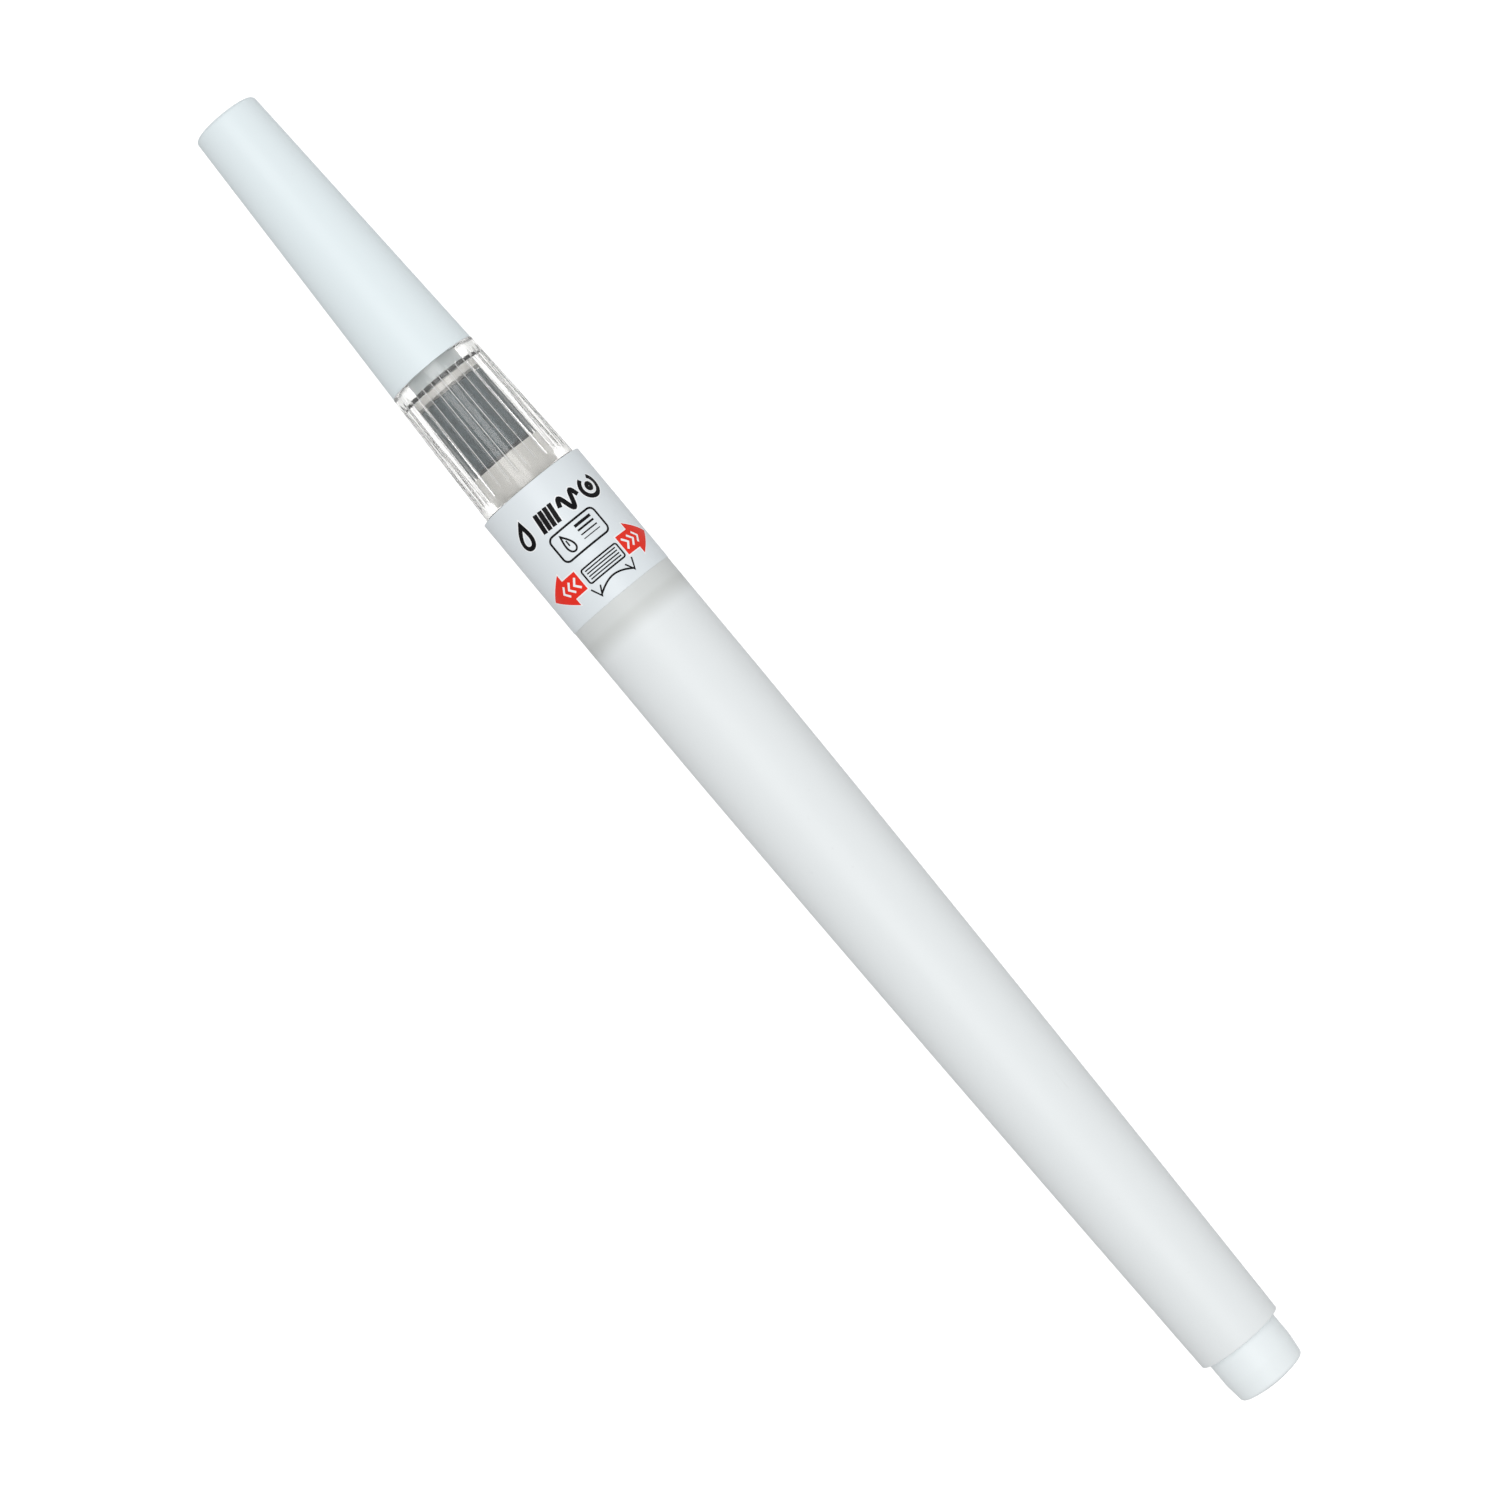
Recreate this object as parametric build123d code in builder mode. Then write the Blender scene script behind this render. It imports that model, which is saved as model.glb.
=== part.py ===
"""Squeeze-barrel brush pen, closed, lying along X. Millimetres, +Z up, +X towards the brush and its cap.

The origin is on the pen's axis, halfway along the closed pen. Every turned piece is a profile of
(distance along the pen, radius), drawn on the XZ plane and revolved about the X axis.
"""

import os
from math import atan2, degrees

from build123d import *

# ---- Driving dimensions -------------------------------------------------------------------------
CLOSED_LENGTH = 168.8
BARREL_RADIUS = 6.2

# Stations along the pen
CAP_END = CLOSED_LENGTH / 2
TAIL_END = -CLOSED_LENGTH / 2
CAP_MOUTH = 51.0  # the holder's shoulder, where the cap's edge seats
BARREL_MOUTH = 35.2  # the barrel's front edge, where the clear holder seats
LABEL_REAR = 20.6
INK_FRONT = 18.4  # front end of the ink space, behind the mouth plug
TAPER_START = 6.0  # the barrel is a plain cylinder in front of this
BARREL_REAR = -78.6
SEAT_GAP = 0.05  # between faces of two bodies that seat on each other

# Barrel
TAPER_MIDDLE = (-38.3, 5.68)  # a point on the outside of the taper
BARREL_REAR_RADIUS = 4.9
BARREL_WALL = 1.1
MOUTH_BORE_RADIUS = 5.4
TAIL_BORE_RADIUS = 3.5
TAIL_BORE_FRONT = -70.0
TAIL_BORE_STEP = 0.7  # how far the ink space narrows to the tail plug's bore
TAIL_BORE_LEAD = 1.5  # where it starts to narrow, in front of the tail plug
TAIL_BORE_CONE = 1.0
INNER_REAR_SLOPE = (-1, -0.016)  # of the ink space's wall at its rear
REAR_SLOPE = (1, 0.0226)  # of the outside at its rear
LABEL_RECESS = 0.05
LABEL_THICKNESS = 0.1
LABEL_EDGE_GAP = 0.05  # between the film's edges and the ends of its recess
LABEL_WRAP_DEGREES = 354.0

# Tail plug
SPIGOT_RADIUS = 4.2  # the step that the cap posts onto
SPIGOT_LENGTH = 3.0
TAIL_RADIUS = 3.95
TAIL_DOME = 0.6
TAIL_EDGE = 0.45
TAIL_PLUG_FLOOR = -82.0
TAIL_PLUG_BORE_RADIUS = 2.6

# Screw joint between the clear holder and the barrel
THREAD_PITCH = 2.0
THREAD_TURNS = 3.0
THREAD_REAR = 26.4
THREAD_HEIGHT = 0.4
THREAD_BASE = 1.0  # width of a ridge where it leaves its wall
THREAD_TOP = 0.45
THREAD_SUNK = 0.2  # how far a ridge is rooted in its wall
SKIRT_RADIUS = 4.85  # wall that carries the holder's ridge
SKIRT_REAR = 23.0

# Clear holder
HOLDER_BORE_RADIUS = 4.1
HOLDER_FRONT_RADIUS = 5.16
HOLDER_REAR_RADIUS = 5.72
BOSS_RADIUS = 4.1  # the spigot that the cap pushes onto
BOSS_FRONT = 55.5
SNAP_HEIGHT = 0.1
SNAP_HALF_WIDTH = 0.6
NOSE_SEAT_RADIUS = 3.1
NOSE_SEAT_REAR = 49.6
NOSE_SEAT_LEAD = 0.5
FLUTE_COUNT = 30
FLUTE_TOOL_RADIUS = 0.32
FLUTE_DEPTH = 0.12
FLUTE_MARGIN = 1.2  # plain band at each end of the flutes
HOLDER_EDGE = 0.2

# Cap
CAP_MOUTH_RADIUS = 5.12
CAP_TIP_RADIUS = 3.78
CAP_BORE_RADIUS = 4.25
CAP_BORE_DEPTH = 5.6
CAP_WALL = 0.9
CAP_END_WALL = 1.4
CAP_EDGE = 0.5
LINER_REAR = 58.0
LINER_FRONT = 79.6
LINER_WALL = 0.5
LINER_GAP = 0.03

# Brush and ink path
PLUG_FRONT = 22.4  # the mouth plug's disc runs from here back to INK_FRONT
HUB_FRONT = 28.0
HUB_RADIUS = 2.8
STEM_REAR = 12.4
STEM_RADIUS = 1.7
STEM_FLAT = 1.4  # half the distance across the flats that stop the stem turning
STEM_FLATS_FRONT = 22.9
INK_WAY_RADIUS = 0.8
WICK_RADIUS = 0.76
WICK_REAR = 19.0
WICK_FRONT = 59.5
SEAL_FLANGE = (29.3, 30.4)  # rear and front of the flange that squeezes the seal
SEAL_FLANGE_RADIUS = 3.5
SEAL_RING_RADIUS = 2.35
SEAL_CORD_RADIUS = 0.6
BUFFER_REAR = 39.1
BUFFER_FRONT = 48.1
BUFFER_RADIUS = 3.85
BUFFER_EDGE = 0.25
BUFFER_FLANGE = 0.8
BUFFER_FLANGE_RADIUS = 3.0
FRONT_FLANGE_REAR = 50.6
COLLAR_REAR = 52.6
COLLAR_FLANGE_RADIUS = 2.3
COLLAR_FLANGE = 1.0
COLLAR_RADIUS = 1.7
COLLAR_FRONT = 63.4
COLLAR_BORE_RADIUS = 1.15
RUNNING_GAP = 0.06

# Nose cone
NOSE_FLANGE_RADIUS = 3.9
NOSE_FLANGE = 0.8
NOSE_REAR_RADIUS = 3.15
NOSE_FRONT = 64.0
NOSE_FRONT_RADIUS = 2.1

# Bristles
BRISTLE_REAR = 55.0
BELLY = (66.0, 1.35)
BRUSH_TIP = 75.0
BRUSH_TIP_RADIUS = 0.12

# Mixing ball
BALL_RADIUS = 2.0
BALL_REST = (9.5, -2.95)  # centre: along the pen, and height

os.makedirs("parts", exist_ok=True)


def cap_radius(x):
    """Outside radius of the cap, which tapers evenly from its mouth to its closed end."""
    share = (x - CAP_MOUTH) / (CAP_END - CAP_MOUTH)
    return CAP_MOUTH_RADIUS + share * (CAP_TIP_RADIUS - CAP_MOUTH_RADIUS)


def holder_radius(x):
    """Outside radius of the clear holder's grip, which tapers from the barrel to the cap."""
    share = (x - BARREL_MOUTH) / (CAP_MOUTH - BARREL_MOUTH)
    return HOLDER_REAR_RADIUS + share * (HOLDER_FRONT_RADIUS - HOLDER_REAR_RADIUS)


def nose_radius(x):
    """Outside radius of the nose cone in front of its flange."""
    share = (x - BOSS_FRONT) / (NOSE_FRONT - BOSS_FRONT)
    return NOSE_REAR_RADIUS + share * (NOSE_FRONT_RADIUS - NOSE_REAR_RADIUS)


def write(piece, name):
    """Names a piece and writes it as one STEP file."""
    piece.part.label = name
    export_step(piece.part, f"parts/{name}.step")
    print(name, "solids", len(piece.part.solids()), "mm3", round(piece.part.volume, 2))


# ---- Screw ridges ---------------------------------------------------------------------------------
def screw_ridge(wall_radius, height, start_x):
    """A helical ridge about X. A negative height makes it stand inwards from a bore."""
    sunk = THREAD_SUNK if height > 0 else -THREAD_SUNK
    with BuildLine(mode=Mode.PRIVATE) as path:
        Helix(
            THREAD_PITCH,
            THREAD_PITCH * THREAD_TURNS,
            wall_radius,
            center=(start_x, 0, 0),
            direction=(1, 0, 0),
        )
    start = path.line @ 0
    outward = Vector(0, start.Y, start.Z).normalized()
    along = Vector(1, 0, 0)
    plane = Plane(origin=(start.X, 0, 0), x_dir=outward, z_dir=outward.cross(along))
    with BuildSketch(plane, mode=Mode.PRIVATE) as section:
        with BuildLine():
            Polyline(
                (wall_radius - sunk, -THREAD_BASE / 2),
                (wall_radius, -THREAD_BASE / 2),
                (wall_radius + height, -THREAD_TOP / 2),
                (wall_radius + height, THREAD_TOP / 2),
                (wall_radius, THREAD_BASE / 2),
                (wall_radius - sunk, THREAD_BASE / 2),
                close=True,
            )
        make_face()
    return sweep(section.sketch, path=path.line, is_frenet=True, mode=Mode.PRIVATE)


# ---- Barrel: one soft moulding that is squeezed, and holds the ink ---------------------------------
inner_middle = (TAPER_MIDDLE[0], TAPER_MIDDLE[1] - BARREL_WALL)
inner_rear = (TAIL_BORE_FRONT + TAIL_BORE_LEAD, TAIL_BORE_RADIUS + TAIL_BORE_STEP)
recess_radius = BARREL_RADIUS - LABEL_RECESS
with BuildPart() as barrel:
    with BuildSketch(Plane.XZ):
        with BuildLine():
            Line((TAPER_START, BARREL_RADIUS), (LABEL_REAR, BARREL_RADIUS))
            Polyline(
                (LABEL_REAR, BARREL_RADIUS),
                (LABEL_REAR, recess_radius),
                (BARREL_MOUTH, recess_radius),
                (BARREL_MOUTH, MOUTH_BORE_RADIUS),
                (INK_FRONT, MOUTH_BORE_RADIUS),
                (INK_FRONT, BARREL_RADIUS - BARREL_WALL),
                (TAPER_START, BARREL_RADIUS - BARREL_WALL),
            )
            Spline(
                (TAPER_START, BARREL_RADIUS - BARREL_WALL),
                inner_middle,
                inner_rear,
                tangents=((-1, 0), INNER_REAR_SLOPE),
            )
            Polyline(
                inner_rear,
                (inner_rear[0] - TAIL_BORE_CONE, TAIL_BORE_RADIUS),
                (BARREL_REAR, TAIL_BORE_RADIUS),
                (BARREL_REAR, BARREL_REAR_RADIUS),
            )
            Spline(
                (BARREL_REAR, BARREL_REAR_RADIUS),
                TAPER_MIDDLE,
                (TAPER_START, BARREL_RADIUS),
                tangents=(REAR_SLOPE, (1, 0)),
            )
        make_face()
    revolve(axis=Axis.X)
    add(screw_ridge(MOUTH_BORE_RADIUS, -THREAD_HEIGHT, THREAD_REAR + THREAD_PITCH / 2))
write(barrel, "barrel")

# ---- Label: a printed film wrapped round the barrel's mouth, with its seam underneath --------------
with BuildPart() as label_wrap:
    with BuildSketch(Plane.XZ):
        with Locations(((LABEL_REAR + BARREL_MOUTH) / 2, -recess_radius - LABEL_THICKNESS / 2)):
            Rectangle(BARREL_MOUTH - LABEL_REAR - 2 * LABEL_EDGE_GAP, LABEL_THICKNESS)
    revolve(axis=Axis.X, revolution_arc=LABEL_WRAP_DEGREES)
write(label_wrap, "label_wrap")

# ---- Tail plug: closes the ink space, with a step for the posted cap -------------------------------
spigot_rear = BARREL_REAR - SPIGOT_LENGTH
tail_corner = (TAIL_END + TAIL_DOME, TAIL_RADIUS)
tail_dome_radius = (TAIL_RADIUS**2 + TAIL_DOME**2) / (2 * TAIL_DOME)
with BuildPart() as tail_plug:
    with BuildSketch(Plane.XZ) as tail_profile:
        with BuildLine():
            Polyline(
                (TAIL_PLUG_FLOOR, 0),
                (TAIL_PLUG_FLOOR, TAIL_PLUG_BORE_RADIUS),
                (TAIL_BORE_FRONT, TAIL_PLUG_BORE_RADIUS),
                (TAIL_BORE_FRONT, TAIL_BORE_RADIUS),
                (BARREL_REAR, TAIL_BORE_RADIUS),
                (BARREL_REAR, SPIGOT_RADIUS),
                (spigot_rear, SPIGOT_RADIUS),
                tail_corner,
            )
            RadiusArc(tail_corner, (TAIL_END, 0), -tail_dome_radius)
            Line((TAIL_END, 0), (TAIL_PLUG_FLOOR, 0))
        make_face()
        fillet(tail_profile.vertices().sort_by_distance((*tail_corner, 0))[0], TAIL_EDGE)
    revolve(axis=Axis.X)
write(tail_plug, "tail_plug")

# ---- Mouth plug: a disc pressed in behind the screw joint, with a keyed way for the feed stem ------
with BuildPart() as mouth_plug:
    with BuildSketch(Plane.XZ):
        with BuildLine():
            Polyline(
                (INK_FRONT, 0),
                (INK_FRONT, MOUTH_BORE_RADIUS),
                (PLUG_FRONT, MOUTH_BORE_RADIUS),
                (PLUG_FRONT, HUB_RADIUS),
                (HUB_FRONT, HUB_RADIUS),
                (HUB_FRONT, 0),
                close=True,
            )
        make_face()
    revolve(axis=Axis.X)
    with BuildSketch(Plane.YZ.offset(PLUG_FRONT)):
        Circle(STEM_RADIUS + RUNNING_GAP)
    extrude(amount=HUB_FRONT - PLUG_FRONT, mode=Mode.SUBTRACT)
    with BuildSketch(Plane.YZ.offset(INK_FRONT)):
        Circle(STEM_RADIUS + RUNNING_GAP)
        keyed_width = 2 * (STEM_FLAT + RUNNING_GAP)
        Rectangle(keyed_width, 4 * STEM_RADIUS, mode=Mode.INTERSECT)
    extrude(amount=PLUG_FRONT - INK_FRONT, mode=Mode.SUBTRACT)
write(mouth_plug, "mouth_plug")

# ---- Feed stem: carries the ink from the barrel to the brush ---------------------------------------
with BuildPart() as feed_stem:
    with BuildSketch(Plane.XZ):
        with BuildLine():
            Polyline(
                (STEM_REAR, INK_WAY_RADIUS),
                (STEM_REAR, STEM_RADIUS),
                (SEAL_FLANGE[0], STEM_RADIUS),
                (SEAL_FLANGE[0], SEAL_FLANGE_RADIUS),
                (SEAL_FLANGE[1], SEAL_FLANGE_RADIUS),
                (SEAL_FLANGE[1], STEM_RADIUS),
                (BUFFER_REAR - BUFFER_FLANGE, STEM_RADIUS),
                (BUFFER_REAR - BUFFER_FLANGE, BUFFER_FLANGE_RADIUS),
                (BUFFER_REAR, BUFFER_FLANGE_RADIUS),
                (BUFFER_REAR, STEM_RADIUS),
                (FRONT_FLANGE_REAR, STEM_RADIUS),
                (FRONT_FLANGE_REAR, COLLAR_FLANGE_RADIUS),
                (COLLAR_REAR, COLLAR_FLANGE_RADIUS),
                (COLLAR_REAR, INK_WAY_RADIUS),
                close=True,
            )
        make_face()
    revolve(axis=Axis.X)
    flat_depth = STEM_RADIUS - STEM_FLAT
    with Locations(
        ((STEM_REAR + STEM_FLATS_FRONT) / 2, STEM_FLAT + flat_depth / 2, 0),
        ((STEM_REAR + STEM_FLATS_FRONT) / 2, -STEM_FLAT - flat_depth / 2, 0),
    ):
        Box(STEM_FLATS_FRONT - STEM_REAR, flat_depth, 2 * STEM_RADIUS, mode=Mode.SUBTRACT)
write(feed_stem, "feed_stem")

# ---- Seal ring: squeezed between the mouth plug's hub and the feed stem's flange -------------------
with BuildPart() as seal_ring:
    with BuildSketch(Plane.XZ):
        with Locations((SEAL_FLANGE[0] - SEAL_CORD_RADIUS, SEAL_RING_RADIUS)):
            Circle(SEAL_CORD_RADIUS)
    revolve(axis=Axis.X)
write(seal_ring, "seal_ring")

# ---- Ink buffer: the dark fibre sleeve seen through the clear holder -------------------------------
with BuildPart() as ink_buffer:
    with BuildSketch(Plane.YZ.offset(BUFFER_REAR)):
        Circle(BUFFER_RADIUS)
        Circle(STEM_RADIUS + RUNNING_GAP, mode=Mode.SUBTRACT)
    extrude(amount=BUFFER_FRONT - BUFFER_REAR)
    chamfer(ink_buffer.edges().filter_by(GeomType.CIRCLE).sort_by(SortBy.RADIUS)[-2:], BUFFER_EDGE)
write(ink_buffer, "ink_buffer")

# ---- Relay wick: the fibre rod down the middle of the stem, into the bristles' root ----------------
with BuildPart() as relay_wick:
    with BuildSketch(Plane.YZ.offset(WICK_REAR)):
        Circle(WICK_RADIUS)
    extrude(amount=WICK_FRONT - WICK_REAR)
write(relay_wick, "relay_wick")

# ---- Brush collar: grips the bristles' root, and is held by the nose cone --------------------------
collar_step = COLLAR_REAR + COLLAR_FLANGE
with BuildPart() as brush_collar:
    with BuildSketch(Plane.XZ):
        with BuildLine():
            Polyline(
                (COLLAR_REAR, COLLAR_BORE_RADIUS),
                (COLLAR_REAR, COLLAR_FLANGE_RADIUS),
                (collar_step, COLLAR_FLANGE_RADIUS),
                (collar_step, COLLAR_RADIUS),
                (COLLAR_FRONT, COLLAR_RADIUS),
                (COLLAR_FRONT, COLLAR_BORE_RADIUS),
                close=True,
            )
        make_face()
    revolve(axis=Axis.X)
write(brush_collar, "brush_collar")

# ---- Bristles: the outer shape of the tuft, hollow at its root for the wick ------------------------
with BuildPart() as bristle_tuft:
    with BuildSketch(Plane.XZ):
        with BuildLine():
            Polyline(
                (BRUSH_TIP, BRUSH_TIP_RADIUS),
                (BRUSH_TIP, 0),
                (WICK_FRONT + SEAT_GAP, 0),
                (WICK_FRONT + SEAT_GAP, INK_WAY_RADIUS),
                (BRISTLE_REAR, INK_WAY_RADIUS),
                (BRISTLE_REAR, COLLAR_BORE_RADIUS),
                (COLLAR_FRONT, COLLAR_BORE_RADIUS),
            )
            Spline((COLLAR_FRONT, COLLAR_BORE_RADIUS), BELLY, (BRUSH_TIP, BRUSH_TIP_RADIUS))
        make_face()
    revolve(axis=Axis.X)
write(bristle_tuft, "bristle_tuft")

# ---- Clear holder: fluted grip, threaded skirt behind it and the cap's spigot in front -------------
shoulder = BARREL_MOUTH + SEAT_GAP
flutes_middle = (BARREL_MOUTH + CAP_MOUTH) / 2
flutes_length = CAP_MOUTH - BARREL_MOUTH - 2 * FLUTE_MARGIN
flute_slope = atan2(HOLDER_FRONT_RADIUS - HOLDER_REAR_RADIUS, CAP_MOUTH - BARREL_MOUTH)
flute_centre_radius = holder_radius(flutes_middle) + FLUTE_TOOL_RADIUS - FLUTE_DEPTH
snap_middle = (CAP_MOUTH + BOSS_FRONT) / 2
with BuildPart() as clear_holder:
    with BuildSketch(Plane.XZ):
        with BuildLine():
            Polyline(
                (snap_middle + SNAP_HALF_WIDTH, BOSS_RADIUS),
                (BOSS_FRONT, BOSS_RADIUS),
                (BOSS_FRONT, NOSE_SEAT_RADIUS),
                (NOSE_SEAT_REAR, NOSE_SEAT_RADIUS),
                (NOSE_SEAT_REAR - NOSE_SEAT_LEAD, HOLDER_BORE_RADIUS),
                (SKIRT_REAR, HOLDER_BORE_RADIUS),
                (SKIRT_REAR, SKIRT_RADIUS),
                (shoulder, SKIRT_RADIUS),
                (shoulder, HOLDER_REAR_RADIUS),
                (CAP_MOUTH, HOLDER_FRONT_RADIUS),
                (CAP_MOUTH, BOSS_RADIUS),
                (snap_middle - SNAP_HALF_WIDTH, BOSS_RADIUS),
            )
            ThreePointArc(
                (snap_middle - SNAP_HALF_WIDTH, BOSS_RADIUS),
                (snap_middle, BOSS_RADIUS + SNAP_HEIGHT),
                (snap_middle + SNAP_HALF_WIDTH, BOSS_RADIUS),
            )
        make_face()
    revolve(axis=Axis.X)
    grip_ends = clear_holder.edges().filter_by(GeomType.CIRCLE).sort_by(SortBy.RADIUS)[-2:]
    fillet(grip_ends, HOLDER_EDGE)
    with Locations(Plane.YZ.offset(flutes_middle)):
        with PolarLocations(flute_centre_radius, FLUTE_COUNT):
            Cylinder(
                FLUTE_TOOL_RADIUS,
                flutes_length,
                rotation=(0, degrees(flute_slope), 0),
                mode=Mode.SUBTRACT,
            )
    add(screw_ridge(SKIRT_RADIUS, THREAD_HEIGHT, THREAD_REAR))
write(clear_holder, "clear_holder")

# ---- Nose cone: pressed into the holder, it keeps the brush in --------------------------------------
flange_front = BOSS_FRONT + NOSE_FLANGE
collar_stop = collar_step + RUNNING_GAP
with BuildPart() as nose_cone:
    with BuildSketch(Plane.XZ):
        with BuildLine():
            Polyline(
                (NOSE_SEAT_REAR, NOSE_SEAT_RADIUS),
                (BOSS_FRONT, NOSE_SEAT_RADIUS),
                (BOSS_FRONT, NOSE_FLANGE_RADIUS),
                (flange_front, NOSE_FLANGE_RADIUS),
                (flange_front, nose_radius(flange_front)),
                (NOSE_FRONT, NOSE_FRONT_RADIUS),
                (NOSE_FRONT, COLLAR_RADIUS + RUNNING_GAP),
                (collar_stop, COLLAR_RADIUS + RUNNING_GAP),
                (collar_stop, COLLAR_FLANGE_RADIUS + RUNNING_GAP),
                (NOSE_SEAT_REAR, COLLAR_FLANGE_RADIUS + RUNNING_GAP),
                close=True,
            )
        make_face()
    revolve(axis=Axis.X)
write(nose_cone, "nose_cone")

# ---- Cap: a long taper, pushed onto the holder's spigot ---------------------------------------------
cap_edge = CAP_MOUTH + SEAT_GAP
bore_step = CAP_MOUTH + CAP_BORE_DEPTH
cap_floor = CAP_END - CAP_END_WALL
with BuildPart() as cap_shell:
    with BuildSketch(Plane.XZ) as cap_profile:
        with BuildLine():
            Polyline(
                (cap_edge, CAP_BORE_RADIUS),
                (cap_edge, cap_radius(cap_edge)),
                (CAP_END, CAP_TIP_RADIUS),
                (CAP_END, 0),
                (cap_floor, 0),
                (cap_floor, cap_radius(cap_floor) - CAP_WALL),
                (bore_step, cap_radius(bore_step) - CAP_WALL),
                (bore_step, CAP_BORE_RADIUS),
                close=True,
            )
        make_face()
        fillet(cap_profile.vertices().sort_by_distance((CAP_END, CAP_TIP_RADIUS, 0))[0], CAP_EDGE)
    revolve(axis=Axis.X)
write(cap_shell, "cap_shell")

# ---- Cap liner: the soft inner cup that keeps the brush from drying ---------------------------------
def liner_radius(x):
    return cap_radius(x) - CAP_WALL - LINER_GAP


liner_floor = LINER_FRONT - LINER_WALL
with BuildPart() as cap_liner:
    with BuildSketch(Plane.XZ):
        with BuildLine():
            Polyline(
                (LINER_REAR, liner_radius(LINER_REAR) - LINER_WALL),
                (LINER_REAR, liner_radius(LINER_REAR)),
                (LINER_FRONT, liner_radius(LINER_FRONT)),
                (LINER_FRONT, 0),
                (liner_floor, 0),
                (liner_floor, liner_radius(liner_floor) - LINER_WALL),
                close=True,
            )
        make_face()
    revolve(axis=Axis.X)
write(cap_liner, "cap_liner")

# ---- Mixing ball: loose in the ink, it stirs the pigment when the pen is shaken ---------------------
with BuildPart() as mixing_ball:
    with Locations((BALL_REST[0], 0, BALL_REST[1])):
        Sphere(BALL_RADIUS)
write(mixing_ball, "mixing_ball")
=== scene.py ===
import math
import bmesh
import bpy
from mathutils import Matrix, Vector


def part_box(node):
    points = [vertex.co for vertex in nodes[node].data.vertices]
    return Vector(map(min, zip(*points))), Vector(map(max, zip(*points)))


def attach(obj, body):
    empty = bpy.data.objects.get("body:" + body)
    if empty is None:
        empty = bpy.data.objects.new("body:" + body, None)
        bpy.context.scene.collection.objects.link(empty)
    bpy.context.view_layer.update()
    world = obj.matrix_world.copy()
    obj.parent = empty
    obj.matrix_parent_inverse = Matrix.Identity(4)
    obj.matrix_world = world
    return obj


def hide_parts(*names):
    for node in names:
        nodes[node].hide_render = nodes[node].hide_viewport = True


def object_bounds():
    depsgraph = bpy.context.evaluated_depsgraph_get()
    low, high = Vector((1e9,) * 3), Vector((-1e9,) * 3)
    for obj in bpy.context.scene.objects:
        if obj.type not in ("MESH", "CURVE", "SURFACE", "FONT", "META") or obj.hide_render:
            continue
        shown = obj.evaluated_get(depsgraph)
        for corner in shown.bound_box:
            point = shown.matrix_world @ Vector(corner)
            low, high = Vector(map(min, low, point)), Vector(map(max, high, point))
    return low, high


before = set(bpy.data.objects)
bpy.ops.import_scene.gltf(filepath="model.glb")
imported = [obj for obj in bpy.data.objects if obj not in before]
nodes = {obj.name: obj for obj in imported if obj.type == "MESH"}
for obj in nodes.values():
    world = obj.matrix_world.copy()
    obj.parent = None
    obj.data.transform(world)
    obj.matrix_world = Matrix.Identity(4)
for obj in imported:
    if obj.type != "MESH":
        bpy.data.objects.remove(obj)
scene = bpy.context.scene
cadLow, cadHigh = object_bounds()
mm = 0.001
print("frame loaded:", len(nodes), "nodes")


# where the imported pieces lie, in mm along the pen
def span(node):
    low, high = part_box(node)
    return low.x / mm, high.x / mm


def outerRadius(node):
    low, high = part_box(node)
    return (high.y - low.y) / 2 / mm


barrelRear, barrelFront = span("barrel")
labelRear, labelFront = span("label_wrap")
capRear, capFront = span("cap_shell")
plugRear, plugFront = span("tail_plug")
discRear, discFront = span("mouth_plug")
skirtRear, bossFront = span("clear_holder")
noseRear, noseFront = span("nose_cone")
stemRear, stemFront = span("feed_stem")
sleeveRear, sleeveFront = span("ink_buffer")
tuftRear, tuftTip = span("bristle_tuft")
linerRear, linerFront = span("cap_liner")

# camera straight above, rolled so that the cap points to the upper left
view = {"distance": 470.0, "widthSeen": 154.2, "capDirection": 129.8, "sensor": 36.0}
cameraData = bpy.data.cameras.new("camera")
cameraData.sensor_width = view["sensor"]
cameraData.lens = view["sensor"] * view["distance"] / view["widthSeen"]
camera = bpy.data.objects.new("camera", cameraData)
camera.location = (0, 0, view["distance"] * mm)
camera.rotation_euler = (0, 0, -math.radians(view["capDirection"]))
scene.collection.objects.link(camera)
scene.camera = camera
scene.view_settings.view_transform = "Standard"

# white room, a soft light overhead and a weak one to the right
studio = {"room": 0.545, "floorColor": (0.62, 0.62, 0.62), "seenGlow": 0.72, "bounceGlow": 0.03, "floorSize": 3.0,
          "floorRough": 0.9, "floorGap": 0.05}
lamps = {"softbox": {"power": 2.15, "size": (0.80, 0.40), "place": (0.0, 0.0, 0.6)},
         "sideFill": {"power": 0.38, "size": (0.8, 0.5), "place": (0.0, -0.75, 0.40)}}
world = bpy.data.worlds.new("whiteRoom")
world.use_nodes = True
world.node_tree.nodes["Background"].inputs["Color"].default_value = (1, 1, 1, 1)
world.node_tree.nodes["Background"].inputs["Strength"].default_value = studio["room"]
scene.world = world
for name, lamp in lamps.items():
    lampData = bpy.data.lights.new(name, "AREA")
    lampData.energy = lamp["power"]
    lampData.shape = "RECTANGLE"
    lampData.size, lampData.size_y = lamp["size"]
    light = bpy.data.objects.new(name, lampData)
    light.location = lamp["place"]
    light.rotation_euler = (-math.atan2(lamp["place"][1], lamp["place"][2]), 0, 0)  # long side along the pen
    scene.collection.objects.link(light)
print("camera and lights placed")


# these helpers serve shader and geometry trees alike
def plug(tree, value, socket):
    if isinstance(value, bpy.types.NodeSocket):
        tree.links.new(value, socket)
    elif value is not None:
        socket.default_value = value


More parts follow.
